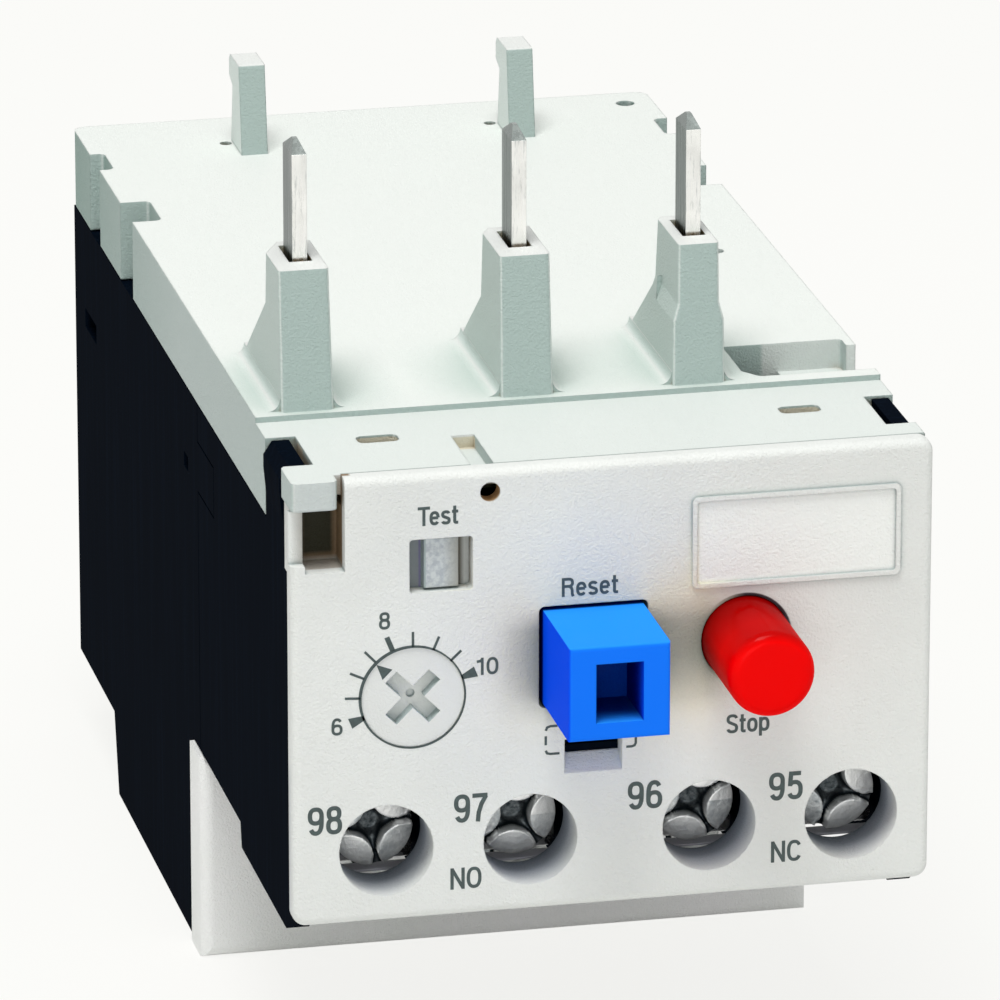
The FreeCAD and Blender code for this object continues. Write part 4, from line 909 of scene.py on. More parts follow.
        # Painted shade by the buttons: a warm tint on the face round the reset button, and a dark one beside
        # it.
        warm = plate.zone(
            X=[(RESET_LOW.x - 7.0 * MM, RESET_LOW.x - 1.0 * MM), (stop.x, stop.x - 3.0 * MM)],
            Z=[(RESET_LOW.z - 5.0 * MM, RESET_LOW.z), (RESET_HIGH.z + 5.0 * MM, RESET_HIGH.z)],
            Y=[(PLATE_FACE + 0.3 * MM, PLATE_FACE + 0.1 * MM)],
        )
        near = plate.between(plate.hollow(9.0 * MM, 0.55, 1.0), 0.0, 1.0, 0.0, 0.8)
        plate.tint(plate.both(warm, near), TINTS["warm_painted_shade_by_reset"])
        beside = plate.zone(
            X=[(RESET_LOW.x - 4.0 * MM, RESET_LOW.x - 1.5 * MM), (stop.x - 1.0 * MM, stop.x - 2.6 * MM)],
            Z=[
                (RESET_LOW.z - 0.8 * MM, RESET_LOW.z + 0.8 * MM),
                (RESET_HIGH.z - 0.4 * MM, RESET_HIGH.z - 2.4 * MM),
            ],
        )
        plate.tint(plate.both(beside, plate.hollow(5.0 * MM, 0.45, 0.95)), TINTS["shade_by_reset"])

    def shade_label(self, plate):
        """The field inside the label frame is a little lighter than the face."""
        right = PLATE_HIGH.x - LABEL_RIGHT
        top = PLATE_LOW.z + LABEL_MIDDLE + LABEL_SIZE[1] / 2
        left = right - LABEL_SIZE[0]
        foot = top - LABEL_SIZE[1]
        inner, outer = 0.6 * MM, 0.3 * MM
        field = plate.zone(
            X=[(left + outer, left + inner), (right - outer, right - inner)],
            Z=[(foot + outer, foot + inner), (top - outer, top - inner)],
        )
        plate.tint(field, TINTS["label_field"])

    def paint_receptacle_shade(self, plate):
        """The receptacle for the corner cap takes painted shade: brown on its edges and nearly black deeper
        in.
        """
        left = PLATE_LOW.x
        top = PLATE_HIGH.z
        behind = (PLATE_FACE + 0.8 * MM, PLATE_FACE + 1.0 * MM)
        inward = (left + 0.2 * MM, left + 1.6 * MM)
        edges = plate.zone(
            Y=[behind],
            X=[(left + 4.4 * MM, left + 4.2 * MM), inward],
            Z=[(top - 7.0 * MM, top - 6.2 * MM)],
        )
        depth = plate.zone(
            Y=[behind],
            X=[(left + 3.8 * MM, left + 3.3 * MM), inward],
            Z=[(top - 6.5 * MM, top - 5.9 * MM)],
        )
        # Painted shade on the edges, and a painted shadow deeper in.
        plate.tint(edges, TINTS["receptacle_edge_painted_shade"])
        plate.tint(depth, TINTS["receptacle_painted_shadow"])


class RELAY_OT_finish_housing(bpy.types.Operator):
    """Give the two housings their blue-black plastic with faint draw lines"""

    bl_idname = "overload_relay.finish_housing"
    bl_label = "Housings"

    def execute(self, context):
        settings = context.scene.overload_relay_finish
        finish = moulded_plastic(
            "black_plastic",
            settings.housing_colour,
            settings.grain_size,
            relief=0.016 * MM,
            rough=0.46,
            edge=settings.edge_radius,
            gloss=0.012,
            sheen=0.0,
        )
        draw_lines = finish.noise(1.0, detail=3.0, place=finish.stretched((2600.0, 2600.0, 60.0)))
        finish.bump(draw_lines, 0.008 * MM, strength=0.6)
        finish.tint(finish.between(draw_lines, 0.0, 0.6, 0.50, 0.70), shade(settings.housing_colour, 1.9))
        behind_seal_hole = finish.both(
            finish.around(SEAL_HOLE, 1.8 * MM, 1.4 * MM),
            finish.at("Y", PLATE_FACE + 40.0 * MM, PLATE_FACE + 39.0 * MM),
        )
        finish.tint(behind_seal_hole, TINTS["housing_bottom"])
        for node in ("front_housing", "rear_housing"):
            give(node, finish)
        return {"FINISHED"}


# ---------------------------------------------------------------- controls
class RELAY_OT_finish_controls(bpy.types.Operator):
    """Give the dial, the two buttons and the test slider their plastics"""

    bl_idname = "overload_relay.finish_controls"
    bl_label = "Dial, Buttons and Slider"

    def execute(self, context):
        settings = context.scene.overload_relay_finish
        self.finish_dial(settings)
        self.finish_buttons(settings)
        self.finish_slider(settings)
        return {"FINISHED"}

    def finish_dial(self, settings):
        """The dial has the shell's plastic, with painted shade in its hollows and on the walls of its slot.
        """
        dial = moulded_plastic(
            "dial_plastic",
            shade(settings.shell_colour, DIAL_TONE),
            settings.grain_size,
            relief=0.060 * MM,
            rough=0.45,
            edge=settings.edge_radius,
        )
        # Painted shade in the dial's hollows and on the walls that face sideways.
        dial.tint(dial.hollow(0.9 * MM, 0.15, 0.60), TINTS["painted_shade_dial_hollow"])
        for axis in ("X", "Z"):
            for side in (-1, 1):
                dial.tint(dial.turned(axis, side * 0.5, side * 0.7), TINTS["painted_shade_dial_slot_wall"])
        give("setting_dial", dial)

    def finish_buttons(self, settings):
        """The buttons are smooth and glossy, with painted light and shade: the blue one lighter on top,
        deeper on its left and dark in its socket; the red one darker on top and by its foot.
        """
        blue = moulded_plastic(
            "blue_plastic",
            settings.reset_colour,
            settings.grain_size * 2,
            relief=0.003 * MM,
            rough=0.34,
            edge=settings.edge_radius,
            gloss=0.06,
            sheen=0.0,
        )
        # Painted light on the blue button's top, painted shade on its left and in its socket.
        blue.tint(blue.turned("Z", 0.5, 0.9), TINTS["painted_light_blue_top"])
        blue.tint(blue.turned("X", -0.5, -0.9), TINTS["painted_shade_blue_left"])
        blue.tint(blue.hollow(5.0 * MM, 0.10, 0.50), TINTS["painted_shade_blue_socket"])
        give("reset_button", blue)
        red = moulded_plastic(
            "red_plastic",
            settings.stop_colour,
            settings.grain_size * 2,
            relief=0.001 * MM,
            rough=0.30,
            edge=settings.edge_radius * 3,
            gloss=0.10,
            sheen=0.0,
        )
        red.set(Coat_Roughness=0.12)
        # Painted shade on the red button's top and by its foot.
        red.tint(red.turned("Z", 0.30, 0.85), TINTS["painted_shade_red_top"])
        red.tint(red.at("Y", PLATE_FACE - 5.0 * MM, PLATE_FACE), TINTS["painted_shade_red_foot"])
        give("stop_button", red)

    def finish_slider(self, settings):
        """The slider has the shell's plastic, with a violet stripe, painted shade on its right half, a
        painted shadow at its left edge and a dark-brown painted shadow by its foot.
        """
        pale = moulded_plastic(
            "slider_plastic",
            settings.shell_colour,
            settings.grain_size,
            relief=0.060 * MM,
            rough=0.5,
            edge=settings.edge_radius,
        )
        centre = (TEST_LOW.x + TEST_HIGH.x) / 2
        half = 1.35 * MM
        left = centre - half
        right = centre + half
        beyond = pale.at("X", right, right + 0.05 * MM)
        foot = pale.at("X", right + 0.55 * MM, right + 0.15 * MM)
        mottle = pale.between(pale.noise(3200.0, detail=3.0), 0.0, 1.0, 0.40, 0.64)
        pale.tint(pale.at("X", centre - 2 * half, centre - 1.9 * half), TINTS["slider_face"])
        pale.tint(mottle, TINTS["slider_mottle"])
        pale.tint(pale.at("X", centre + 0.2 * MM, right), TINTS["slider_shade"])
        pale.tint(pale.at("X", left + 0.40 * MM, left + 0.36 * MM), TINTS["slider_edge"])
        pale.tint(pale.at("X", left + 0.24 * MM, left + 0.20 * MM), TINTS["slider_stripe"])
        # Painted shadow at the left edge.
        pale.tint(pale.at("X", left + 0.08 * MM, left + 0.04 * MM), TINTS["painted_shadow_slider_left"])
        pale.tint(beyond, TINTS["slider_right"])
        # Dark-brown painted shadow in the gap right of the block.
        pale.tint(pale.both(beyond, foot), TINTS["painted_shadow_slider_foot"])
        give("test_slider", pale)


# ---------------------------------------------------------------- screws
# Head radius, head height and shank radius.
AUX_SCREW = (2.9 * MM, 2.2 * MM, 1.75 * MM)
MAIN_SCREW = (3.4 * MM, 2.4 * MM, 2.0 * MM)
# How far each head is turned, in degrees: 98, 97, 96, 95, then the three main terminals.
HEAD_TURNS = (8, 40, 30, 72, 35, 80, 10)
# How bright each of a head's four lands is painted: a painted glint for the light that each land catches.
LAND_GLINT = (0.95, 0.25, 0.70, 0.45)
# Parts of a head's radius: where a land's middle lies, how far a land reaches, and how wide its wall is.
LAND_PLACE = 0.98
LAND_REACH = 0.63
LAND_WALL = 0.035
# Parts of a head's height: how deep the flutes are, how much deeper away from a land, how much the socket
# in the middle adds and the step that closes the cross takes, and how far a land's edge falls.
FLUTE_DEPTH = 0.42
FLUTE_FALL = 0.12
SOCKET_DEPTH = 0.24
LAND_FALL = 0.03
# Points round a screw, and rings over its head.
SECTORS = 120
HEAD_RINGS = 60
# Steps along one turn of the thread, and its depth as a part of the pitch.
THREAD_STEPS = 8
THREAD_DEPTH = 0.28


def soft_step(value, middle, width):
    """From 0 below a value to 1 above it, smoothly."""
    part = min(max((value - middle) / width + 0.5, 0.0), 1.0)
    return part * part * (3 - 2 * part)


def head_relief(along, across, radius, height):
    """Depth under the head's highest point, and how far into a flute, at a place on a screw's head.

    Four leaf-shaped lands stand between the arms of a slot, open at the rim, and of a cross, which a step
    closes.
    """
    reach = math.hypot(along, across) / radius
    land_centre = LAND_PLACE * radius * math.sqrt(0.5)
    inside = LAND_REACH - math.hypot(abs(along) - land_centre, abs(across) - land_centre) / radius
    land = soft_step(inside, 0.0, LAND_WALL)
    crown = LAND_FALL * height * (1.0 - min(max(inside, 0.0) / 0.12, 1.0)) ** 2
    floor = height * (FLUTE_DEPTH + FLUTE_FALL * min(max(-inside, 0.0) / 0.10, 1.0))
    floor += SOCKET_DEPTH * height * (1.0 - soft_step(reach, 0.30, 0.20))
    if abs(across) > abs(along):
        floor -= SOCKET_DEPTH * height * soft_step(reach, 0.72, 0.05)
    return floor + (crown - floor) * land, min(max(0.5 - inside / 0.2, 0.0), 1.0)


def screw_mesh(name, axis_place, kind, front, end, turn, settings):
    """A terminal screw: domed head with a recess, and a threaded shank."""
    x, z = axis_place
    head_radius, head_height, shank_radius = kind
    pitch = settings.thread_pitch
    flute = []
    shine = []

    def head_place(reach):
        def place(sector, angle):
            across = head_radius * reach * math.sin(angle - turn)
            along = head_radius * reach * math.cos(angle - turn)
            depth, in_flute = head_relief(along, across, head_radius, head_height)
            fall = settings.dome * head_height * reach ** 2.4
            flute.append(in_flute)
            shine.append(LAND_GLINT[int((angle - turn) / (math.pi / 2)) % 4])
            return head_radius * reach, front + depth + fall * (1.0 - in_flute)
        return place

    rows = [ring_row(x, z, SECTORS, head_place(ring / HEAD_RINGS)) for ring in range(1, HEAD_RINGS + 1)]
    rim = [point[1] - front for point in rows[-1]]
    for level, reach in ((0.30, 1.0), (0.42, 1.0), (0.95, 1.0), (1.0, 0.985)):
        def wall_place(sector, angle):
            lowest = min(rim[sector] + 0.02 * head_height, head_height)
            return head_radius * reach, front + max(head_height * level, lowest)
        rows.append(ring_row(x, z, SECTORS, wall_place))
    shank_length = end - front - head_height
    steps = max(THREAD_STEPS, int(shank_length / pitch * THREAD_STEPS))
    for number in range(steps + 1):
        level = front + head_height + shank_length * number / steps
        fade = min(1.0, 4.0 * (1.0 - number / steps) + 0.25)

        def thread_place(sector, angle):
            phase = ((level - front) / pitch + sector / SECTORS) % 1.0
            cut = abs(2.0 * phase - 1.0) * THREAD_DEPTH * pitch
            return (shank_radius - cut) * (0.86 + 0.14 * fade), level
        rows.append(ring_row(x, z, SECTORS, thread_place))
    mesh = grid_mesh(name, rows)
    rest = len(mesh.vertices) - len(flute)
    mesh.attributes.new("flute", "FLOAT", "POINT").data.foreach_set("value", flute + [0.0] * rest)
    mesh.attributes.new("shine", "FLOAT", "POINT").data.foreach_set("value", shine + [0.5] * rest)
    return mesh


class RELAY_OT_make_screws(bpy.types.Operator):
    """Make the seven terminal screws with slotted cross recesses and threads"""

    bl_idname = "overload_relay.make_screws"
    bl_label = "Terminal Screws"

    def execute(self, context):
        settings = context.scene.overload_relay_screws
        steel = drawn_metal("plated_steel")
        head = self.head_steel()
        kinds = [(f"aux_screw_{name}", AUX_SCREW) for name in AUX_NAMES]
        kinds += [(f"main_screw_{phase}", MAIN_SCREW) for phase in PHASES]
        for (node, kind), turn in zip(kinds, HEAD_TURNS):
            low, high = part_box(node)
            centre = middle_of(node)
            name = f"{node}_threaded"
            mesh = screw_mesh(name, (centre.x, centre.z), kind, low.y, high.y, math.radians(turn), settings)
            made = piece(name, mesh, f"{node}_body", head.material)
            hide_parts(node)
        for name in AUX_NAMES:
            give(f"aux_washer_{name}", steel)
        for phase in PHASES:
            give(f"main_cage_{phase}", steel)
        give("lever_pin", steel)
        self.make_terminal_ribs()
        return {"FINISHED"}

    def make_terminal_ribs(self):
        """The pale ribs that show under the auxiliary screws, clear of the pressure plates."""
        finish = moulded_plastic(
            "rib_plastic",
            (0.52, 0.52, 0.57),
            grain=0.4 * MM,
            relief=0.010 * MM,
            rough=0.45,
            edge=0.05 * MM,
        )
        half = 2.8 * MM
        chamfer = 0.5 * MM
        thickness = 0.15 * MM
        for name in AUX_NAMES:
            screw_low, screw_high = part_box(f"aux_screw_{name}")
            washer_front, washer_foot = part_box(f"aux_washer_{name}")[0].yz
            x = (screw_low.x + screw_high.x) / 2
            front = screw_low.y + 0.55 * MM
            back = washer_front - 0.2 * MM
            top = washer_foot - 0.12 * MM
            plan = (
                (x - half, front),
                (x + half - 2 * chamfer, front),
                (x + half, front + chamfer),
                (x + half, back),
                (x - half, back),
            )
            rows = [[(across, deep, top - drop) for across, deep in plan] for drop in (0, thickness)]
            mesh = grid_mesh(f"terminal_rib_{name}", rows)
            piece(f"terminal_rib_{name}", mesh, RELAY, finish.material, smooth=False)

    def head_steel(self):
        """Plated steel with a painted glint on its lands, worn edges with a painted highlight, painted shade
        in its flutes and painted sheen on their floors.
        """
        head = drawn_metal("screw_steel")
        patches = head.noise(520.0, detail=4.0, roughness=0.7)
        grit = head.noise(2600.0, detail=4.0, roughness=0.7)
        flute = head.stored("flute")
        head.colour(head.between(patches, 0.0, 1.0, 0.35, 0.60), (0.30, 0.34, 0.36), (0.80, 0.82, 0.81))
        # Painted glint on the lands.
        head.tint(head.between(head.stored("shine"), 0.0, 1.0, 0.3, 0.9), TINTS["land_painted_glint"])
        # Edges of the lands: wear, brightened further by a painted highlight.
        worn_edge_highlight = head.between(flute, 0.0, 1.0, 0.28, 0.44)
        # Painted shade in the flutes.
        flute_shade = head.between(flute, 0.0, 1.0, 0.50, 0.58)
        # Painted sheen, mottled by grit, on the flutes' floors.
        flute_sheen = head.both(head.between(flute, 0.0, 1.0, 0.72, 0.95), head.between(grit, 0.0, 0.6))
        head.tint(worn_edge_highlight, TINTS["worn_edge_highlight"])
        head.tint(flute_shade, TINTS["flute_painted_shade"])
        head.tint(flute_sheen, TINTS["flute_painted_sheen"])
        head.bump(grit, 0.060 * MM)
        head.set(Metallic=0.75)
        return head


# ---------------------------------------------------------------- contact pins and current path
class RELAY_OT_finish_current_path(bpy.types.Operator):
    """Give the contact pins, bars, rails and contact leaves their metals"""

    bl_idname = "overload_relay.finish_current_path"
    bl_label = "Pins, Bars and Contacts"

    def execute(self, context):
        tinned = self.scratched_tin()
        for phase in PHASES:
            give(f"line_pin_{phase}", tinned)
            give(f"load_bar_{phase}", tinned)
        brass = drawn_metal("brass")
        for name in AUX_NAMES:
            give(f"aux_terminal_{name}", brass)
        bronze = drawn_metal("contact_bronze")
        for node in ("contact_leaf_no", "contact_leaf_nc", "trip_lever"):
            give(node, bronze)
        return {"FINISHED"}

    def scratched_tin(self):
        """Tinned copper with scratches along its length, with painted shade on its narrow sides and on its
        tips.
        """
        tinned = drawn_metal("tinned_copper")
        fine = tinned.stretched((4200.0, 4200.0, 420.0))
        scratches = tinned.noise(1.0, detail=5.0, roughness=0.7, place=fine)
        tinned.tint(tinned.between(scratches, 0.0, 0.55, 0.54, 0.66), TINTS["tin_scratches"])
        # Painted shade on the narrow sides and on the tips.
        for side in (-1, 1):
            tinned.tint(tinned.turned("X", side * 0.35, side * 0.60), TINTS["painted_shade_tin_side"])
        tinned.tint(tinned.turned("Z", 0.30, 0.50), TINTS["painted_shade_tin_tip"])
        return tinned


class RELAY_OT_finish_bimetals(bpy.types.Operator):
    """Give the bimetals and their heater windings their heat-tinted metals"""

    bl_idname = "overload_relay.finish_bimetals"
    bl_label = "Bimetals and Heaters"

    def execute(self, context):
        strip = drawn_metal("bimetal")
        heater = drawn_metal("heater_alloy")
        bands = heater.noise(160.0, detail=2.0)
        heater.colour(heater.between(bands, 0.0, 1.0), (0.30, 0.25, 0.22), (0.46, 0.44, 0.42))
        for phase in PHASES:
            give(f"bimetal_{phase}", strip)
            give(f"heater_{phase}", heater)
        return {"FINISHED"}


class RELAY_OT_finish_mechanism(bpy.types.Operator):
    """Give the slides, the differential lever and the contact carrier their natural plastic"""

    bl_idname = "overload_relay.finish_mechanism"
    bl_label = "Trip Mechanism"

    def execute(self, context):
        settings = context.scene.overload_relay_finish
        finish = moulded_plastic(
            "natural_plastic",
            (0.78, 0.73, 0.60),
            settings.grain_size,
            relief=0.010 * MM,
            rough=0.45,
            edge=settings.edge_radius,
        )
        finish.set(Subsurface_Weight=0.15, Subsurface_Scale=0.6 * MM)
        for node in ("phase_slide", "overload_slide", "differential_lever", "contact_carrier"):
            give(node, finish)
        return {"FINISHED"}


# ---------------------------------------------------------------- springs
WIRE_RADIUS = 0.18 * MM
# Each spring's axis, the joint that presses it, its turns, and the end that stands still: 0 low, 1 high.
SPRINGS = (
    ("reset_spring", "Y", "reset_press", 3.5, 1),
    ("stop_spring", "Y", "stop_press", 3.5, 1),
    ("carrier_spring", "X", "carrier_travel", 7.0, 0),
)


class RELAY_OT_make_springs(bpy.types.Operator):
    """Make the three compression springs of round wire"""

    bl_idname = "overload_relay.make_springs"
    bl_label = "Springs"

    def execute(self, context):
        steel = drawn_metal("spring_steel")
        for node, axis, joint, turns, still in SPRINGS:
            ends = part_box(node)
            number = "XYZ".index(axis)
            length = ends[1][number] - ends[0][number]
            radius = (ends[1].z - ends[0].z) / 2 - WIRE_RADIUS
            start = middle_of(node)
            start[number] = ends[0][number]
            anchor = middle_of(node)
            anchor[number] = ends[still][number]
            mesh = round_wire_coil(f"{node}_coil", axis, start, length, radius, WIRE_RADIUS, turns)
            made = piece(f"{node}_coil", mesh, RELAY, steel.material)
            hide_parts(node)
            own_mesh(made)
        return {"FINISHED"}


# ---------------------------------------------------------------- printed marks
# Each text with its middle across and up, its width and its height, in millimetres.
WORDS = (
    ("Test", -12.29, 44.50, 2.80, 1.36),
    ("Reset", -1.70, 38.66, 3.95, 1.36),
    ("Stop", 9.50, 27.82, 3.05, 1.38),
    ("98", -20.24, 23.02, 2.40, 2.06),
    ("97", -10.02, 23.14, 2.40, 2.06),
    ("96", 2.24, 23.10, 2.45, 2.06),
    ("95", 12.24, 22.95, 2.42, 2.06),
    ("NO", -10.38, 18.03, 2.20, 1.56),
    ("NC", 12.29, 18.14, 2.16, 1.56),
)
SCALE_NUMBERS = (
    ("6", -19.36, 29.79, 0.80, 1.24),
    ("8", -16.02, 37.20, 0.80, 1.24),
    ("10", -8.85, 33.39, 1.56, 1.24),
)
# The broken outline round the slot under the reset button, in millimetres; the fine relief line is drawn in
# ink as painted shade.
SLOT_OUTLINE = (
    ((-3.95, 28.66), (-4.45, 28.66), (-4.68, 28.58), (-4.77, 28.35)),
    ((-4.77, 27.95), (-4.77, 27.30)),
    ((-4.77, 26.90), (-4.68, 26.70), (-4.45, 26.64), (-3.80, 26.64)),
    ((1.57, 27.85), (1.57, 26.97), (1.48, 26.80), (1.30, 26.74), (0.90, 26.74)),
)
SLOT_LINE_WIDTH = 0.17 * MM
# The scale's marks: how many, the first one's angle and the step between them, in degrees, and its slant.
MARK_COUNT = 9
FIRST_MARK = 202.5
MARK_STEP = 22.5
SCALE_SLANT = 0.06
# Inner and outer widths of the marks at the scale's ends, and of the one in its middle.
END_MARK = (0.30 * MM, 0.76 * MM)
MIDDLE_MARK = (0.36 * MM, 0.36 * MM)
# The pointer on the dial: inner and outer radius, and its width at each.
POINTER = (2.49 * MM, 3.55 * MM, 0.98 * MM, 0.02 * MM)
# The painted shadow ring round the dial: its width and its points.
RING_WIDTH = 0.10 * MM
RING_POINTS = 90


def ink():
    """The print's material, made once."""
    if "printed_ink" not in bpy.data.materials:
        colour = bpy.context.scene.overload_relay_finish.ink_colour
        finish = Finish("printed_ink")
        speck = finish.noise(2600.0, detail=2.0)
        finish.colour(finish.between(speck, 0.0, 1.0), shade(colour, 0.8), shade(colour, 1.25))
        finish.roughness(speck, 0.40, 0.60)
    return bpy.data.materials["printed_ink"]


def print_on_plate(name, mesh):
    """A mark that lies on the front plate."""
    piece(name, mesh, RELAY, ink(), smooth=False)


def print_text(name, text, x, z, width, height, thickness):
    """A text on the front plate, placed in millimetres."""
    centre = (x * MM, MARKS_LEVEL + z * MM)
    print_on_plate(name, word_mesh(name, text, centre, (width * MM, height * MM), PLATE_FACE, thickness))


class RELAY_OT_print_words(bpy.types.Operator):
    """Print the words and terminal numbers on the front plate, and draw the outline round the reset slot in
    ink as painted shade
    """

    bl_idname = "overload_relay.print_words"
    bl_label = "Words and Terminal Numbers"

    def execute(self, context):
        thickness = context.scene.overload_relay_marks.ink_thickness
        for text, *place in WORDS:
            print_text(f"print_{text.lower()}", text, *place, thickness)
        # Painted shade along the relief outline round the reset slot.
        outline = [[(x * MM, MARKS_LEVEL + z * MM) for x, z in line] for line in SLOT_OUTLINE]
        name = "print_slot_outline"
        print_on_plate(name, stroke_mesh(name, outline, SLOT_LINE_WIDTH, PLATE_FACE, thickness))
        return {"FINISHED"}


def radial_mark(angle, inner, outer, inner_width, outer_width, slant=0.0):
    """Corners of a mark that points at the dial's middle; the whole scale may slant down to the right."""
    along = Vector((math.cos(angle), math.sin(angle)))
    across = Vector((-along.y, along.x))
    middle = Vector((DIAL_CENTRE.x, DIAL_CENTRE.z))
    corners = (
        middle + along * inner - across * inner_width / 2,
        middle + along * outer - across * outer_width / 2,
        middle + along * outer + across * outer_width / 2,
        middle + along * inner + across * inner_width / 2,
    )
    return [(corner.x, corner.y - slant * (corner.x - DIAL_CENTRE.x)) for corner in corners]


def gap_shadow_swell(part):
    """How much wider the painted shadow round the dial is at a part of its turn: widest at its upper left.
    """
    return 1.0 + 1.3 * max(0.0, math.cos((part - 0.39) * math.tau))


class RELAY_OT_print_scale(bpy.types.Operator):
    """Print the setting scale round the dial and the dial's pointer, and lay a dark ring of painted shadow
    round the dial
    """

    bl_idname = "overload_relay.print_scale"
    bl_label = "Setting Scale"

    def execute(self, context):
        settings = context.scene.overload_relay_marks
        thickness = settings.ink_thickness
        self.print_marks(settings)
        for text, *place in SCALE_NUMBERS:
            print_text(f"print_scale_{text}", text, *place, thickness)
        self.paint_dial_gap_shadow(thickness)
        pointer = radial_mark(math.radians(135), *POINTER)
        mesh = flat_mark("dial_pointer", [pointer], DIAL_FACE, thickness)
        piece("dial_pointer", mesh, "dial", ink(), smooth=False)
        return {"FINISHED"}

    def print_marks(self, settings):
        """The scale's marks, bold at both ends and in the middle."""
        inner = DIAL_RADIUS + 0.08 * MM
        outer = DIAL_RADIUS + settings.tick_length
        bold = {0: END_MARK, MARK_COUNT // 2: MIDDLE_MARK, MARK_COUNT - 1: END_MARK}
        loops = []
        for number in range(MARK_COUNT):
            angle = math.radians(FIRST_MARK - MARK_STEP * number)
            widths = bold.get(number, (settings.tick_width, settings.tick_width))
            loops.append(radial_mark(angle, inner, outer, *widths, slant=SCALE_SLANT))
        name = "print_scale_marks"
        print_on_plate(name, flat_mark(name, loops, PLATE_FACE, settings.ink_thickness))

    def paint_dial_gap_shadow(self, thickness):
        """A dark ring of painted shadow in the gap round the dial."""
        ring = []
        for number in range(RING_POINTS + 1):
            angle = number * math.tau / RING_POINTS
            reach = DIAL_RADIUS + RING_WIDTH / 2 * gap_shadow_swell(number / RING_POINTS)
            ring.append((DIAL_CENTRE.x + reach * math.cos(angle), DIAL_CENTRE.z + reach * math.sin(angle)))
        name = "print_dial_ring"
        print_on_plate(name, stroke_mesh(name, [ring], RING_WIDTH, PLATE_FACE, thickness, gap_shadow_swell))


# ---------------------------------------------------------------- studio
# Each lamp's place, the point it faces and its size, in metres.
LAMPS = {
    "key": ((-0.13, -0.24, 0.88), (0, 0, 0.03), 0.40),
    "fill": ((-0.18, -0.89, 0.06), (0, 0, 0.02), 0.60),
}
SENSOR_WIDTH = 36.0
FLOOR_HALF = 3.0
FLOOR_PAINT = (0.82, 0.82, 0.80, 1.0)
FLOOR_GLOW = (1.0, 1.0, 0.975, 1.0)
# How much of the glow the floor shows to the rays that show the background.
FLOOR_GLOW_SHARE = 0.85
BACKDROP = (1.0, 1.0, 0.985, 1.0)
WHITE = (1.0, 1.0, 1.0, 1.0)


def background_rays(nodes, links):
    """1 for the rays that show the background, seen directly, in metal or through something clear."""
    path = nodes.new("ShaderNodeLightPath")
    result = path.outputs["Is Camera Ray"]
    for name in ("Is Glossy Ray", "Is Transmission Ray"):
        node = nodes.new("ShaderNodeMath")
        node.operation = "MAXIMUM"
        links.new(result, node.inputs[0])
        links.new(path.outputs[name], node.inputs[1])
        result = node.outputs["Value"]
    return result


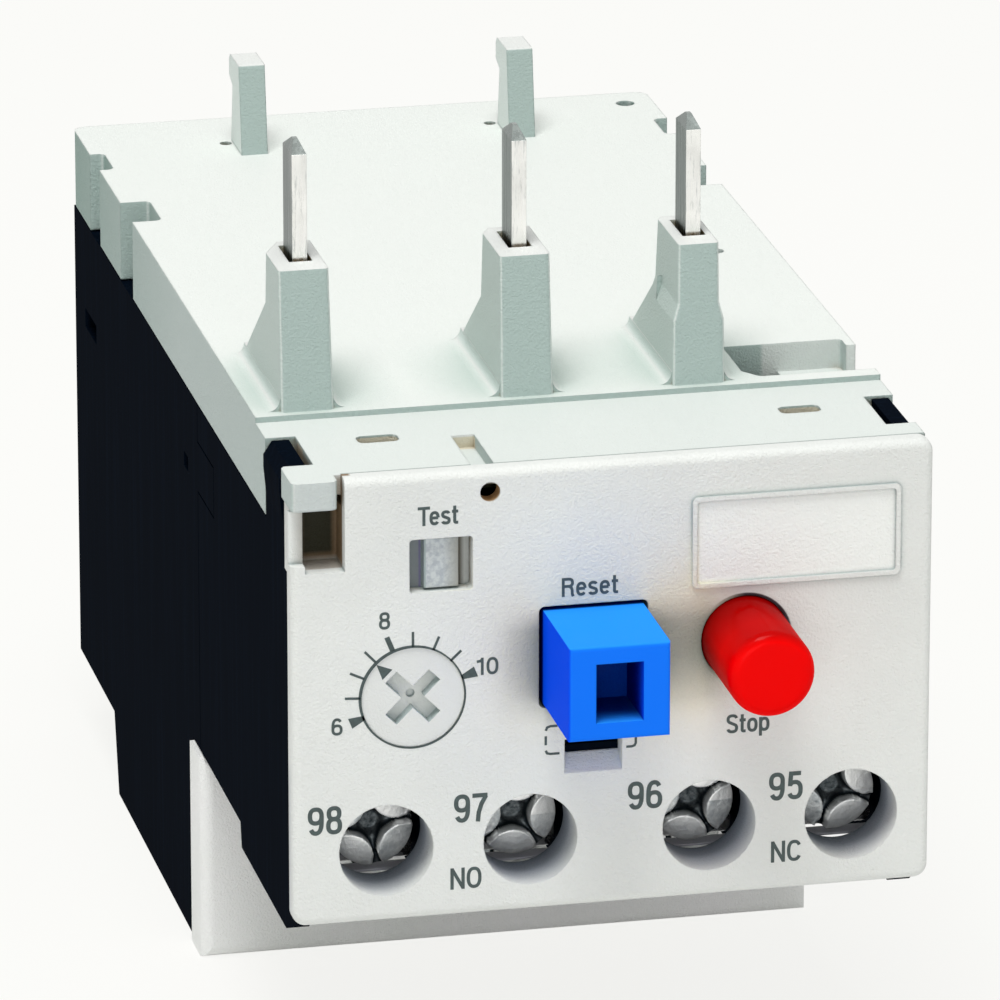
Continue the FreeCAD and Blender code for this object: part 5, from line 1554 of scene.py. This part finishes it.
class RELAY_OT_studio(bpy.types.Operator):
    """Set up the pale floor, the soft lights and the camera"""

    bl_idname = "overload_relay.studio"
    bl_label = "Studio"

    def execute(self, context):
        settings = context.scene.overload_relay_studio
        scene = context.scene
        scene.view_settings.view_transform = "Standard"
        self.add_camera(scene, settings)
        self.add_floor(scene)
        self.add_world(scene, settings)
        for name, (place, aim, size) in LAMPS.items():
            lamp = bpy.data.lights.new(name, "AREA")
            lamp.size = size
            lamp.energy = getattr(settings, f"{name}_power")
            holder = bpy.data.objects.new(name, lamp)
            holder.location = place
            direction = Vector(aim) - Vector(place)
            holder.rotation_euler = direction.to_track_quat("-Z", "Y").to_euler()
            scene.collection.objects.link(holder)
        return {"FINISHED"}

    def add_camera(self, scene, settings):
        """The camera at its viewing place."""
        camera = bpy.data.cameras.new("camera")
        camera.sensor_width = SENSOR_WIDTH
        camera.lens = settings.lens
        camera.clip_start = 0.01
        camera.clip_end = 20.0
        holder = bpy.data.objects.new("camera", camera)
        holder.location = settings.camera_place
        holder.rotation_euler = settings.camera_turn
        scene.collection.objects.link(holder)
        scene.camera = holder

    def add_floor(self, scene):
        """A pale floor that the camera sees as nearly white, with the relay's shadow on it."""
        mesh = bpy.data.meshes.new("floor")
        half = FLOOR_HALF
        corners = [(-half, -half, 0), (half, -half, 0), (half, half, 0), (-half, half, 0)]
        mesh.from_pydata(corners, [], [(0, 1, 2, 3)])
        floor = bpy.data.objects.new("floor", mesh)
        scene.collection.objects.link(floor)
        material = bpy.data.materials.new("pale_floor")
        material.use_nodes = True
        nodes = material.node_tree.nodes
        links = material.node_tree.links
        nodes.clear()
        paint = nodes.new("ShaderNodeBsdfDiffuse")
        paint.inputs["Color"].default_value = FLOOR_PAINT
        glow = nodes.new("ShaderNodeEmission")
        glow.inputs["Color"].default_value = FLOOR_GLOW
        mix = nodes.new("ShaderNodeMixShader")
        amount = nodes.new("ShaderNodeMath")
        amount.operation = "MULTIPLY"
        amount.inputs[1].default_value = FLOOR_GLOW_SHARE
        output = nodes.new("ShaderNodeOutputMaterial")
        links.new(background_rays(nodes, links), amount.inputs[0])
        links.new(amount.outputs[0], mix.inputs["Fac"])
        links.new(paint.outputs["BSDF"], mix.inputs[1])
        links.new(glow.outputs["Emission"], mix.inputs[2])
        links.new(mix.outputs["Shader"], output.inputs["Surface"])
        mesh.materials.append(material)

    def add_world(self, scene, settings):
        """Even light, and a nearly white background behind the relay."""
        world = bpy.data.worlds.new("studio")
        world.use_nodes = True
        nodes = world.node_tree.nodes
        links = world.node_tree.links
        nodes.clear()
        light = nodes.new("ShaderNodeBackground")
        light.inputs["Color"].default_value = WHITE
        light.inputs["Strength"].default_value = settings.ambient
        backdrop = nodes.new("ShaderNodeBackground")
        backdrop.inputs["Color"].default_value = BACKDROP
        backdrop.inputs["Strength"].default_value = 1.0
        mix = nodes.new("ShaderNodeMixShader")
        output = nodes.new("ShaderNodeOutputWorld")
        links.new(background_rays(nodes, links), mix.inputs["Fac"])
        links.new(light.outputs["Background"], mix.inputs[1])
        links.new(backdrop.outputs["Background"], mix.inputs[2])
        links.new(mix.outputs["Shader"], output.inputs["Surface"])
        scene.world = world


# ---------------------------------------------------------------- panel
OPERATORS = (
    RELAY_OT_finish_cover,
    RELAY_OT_finish_housing,
    RELAY_OT_finish_controls,
    RELAY_OT_make_screws,
    RELAY_OT_finish_current_path,
    RELAY_OT_finish_bimetals,
    RELAY_OT_finish_mechanism,
    RELAY_OT_make_springs,
    RELAY_OT_print_words,
    RELAY_OT_print_scale,
    RELAY_OT_studio,
)
GROUPS = (
    ("overload_relay_finish", FinishSettings),
    ("overload_relay_marks", MarkSettings),
    ("overload_relay_screws", ScrewSettings),
    ("overload_relay_studio", StudioSettings),
)


class RELAY_PT_panel(bpy.types.Panel):
    """Lists the relay's pieces and their settings"""

    bl_idname = "RELAY_PT_panel"
    bl_label = "Overload Relay"
    bl_space_type = "VIEW_3D"
    bl_region_type = "UI"
    bl_category = "Overload Relay"

    def draw(self, context):
        for name, group in GROUPS:
            box = self.layout.box()
            settings = getattr(context.scene, name)
            for key in group.__annotations__:
                box.prop(settings, key)
        for operator in OPERATORS:
            self.layout.operator(operator.bl_idname)


def register():
    for name, group in GROUPS:
        bpy.utils.register_class(group)
        setattr(bpy.types.Scene, name, bpy.props.PointerProperty(type=group))
    for operator in OPERATORS:
        bpy.utils.register_class(operator)
    bpy.utils.register_class(RELAY_PT_panel)


def unregister():
    bpy.utils.unregister_class(RELAY_PT_panel)
    for operator in reversed(OPERATORS):
        bpy.utils.unregister_class(operator)
    for name, group in reversed(GROUPS):
        delattr(bpy.types.Scene, name)
        bpy.utils.unregister_class(group)


def main():
    register()
    for operator in OPERATORS:
        group, action = operator.bl_idname.split(".")
        getattr(getattr(bpy.ops, group), action)()


if __name__ == "__main__":
    main()
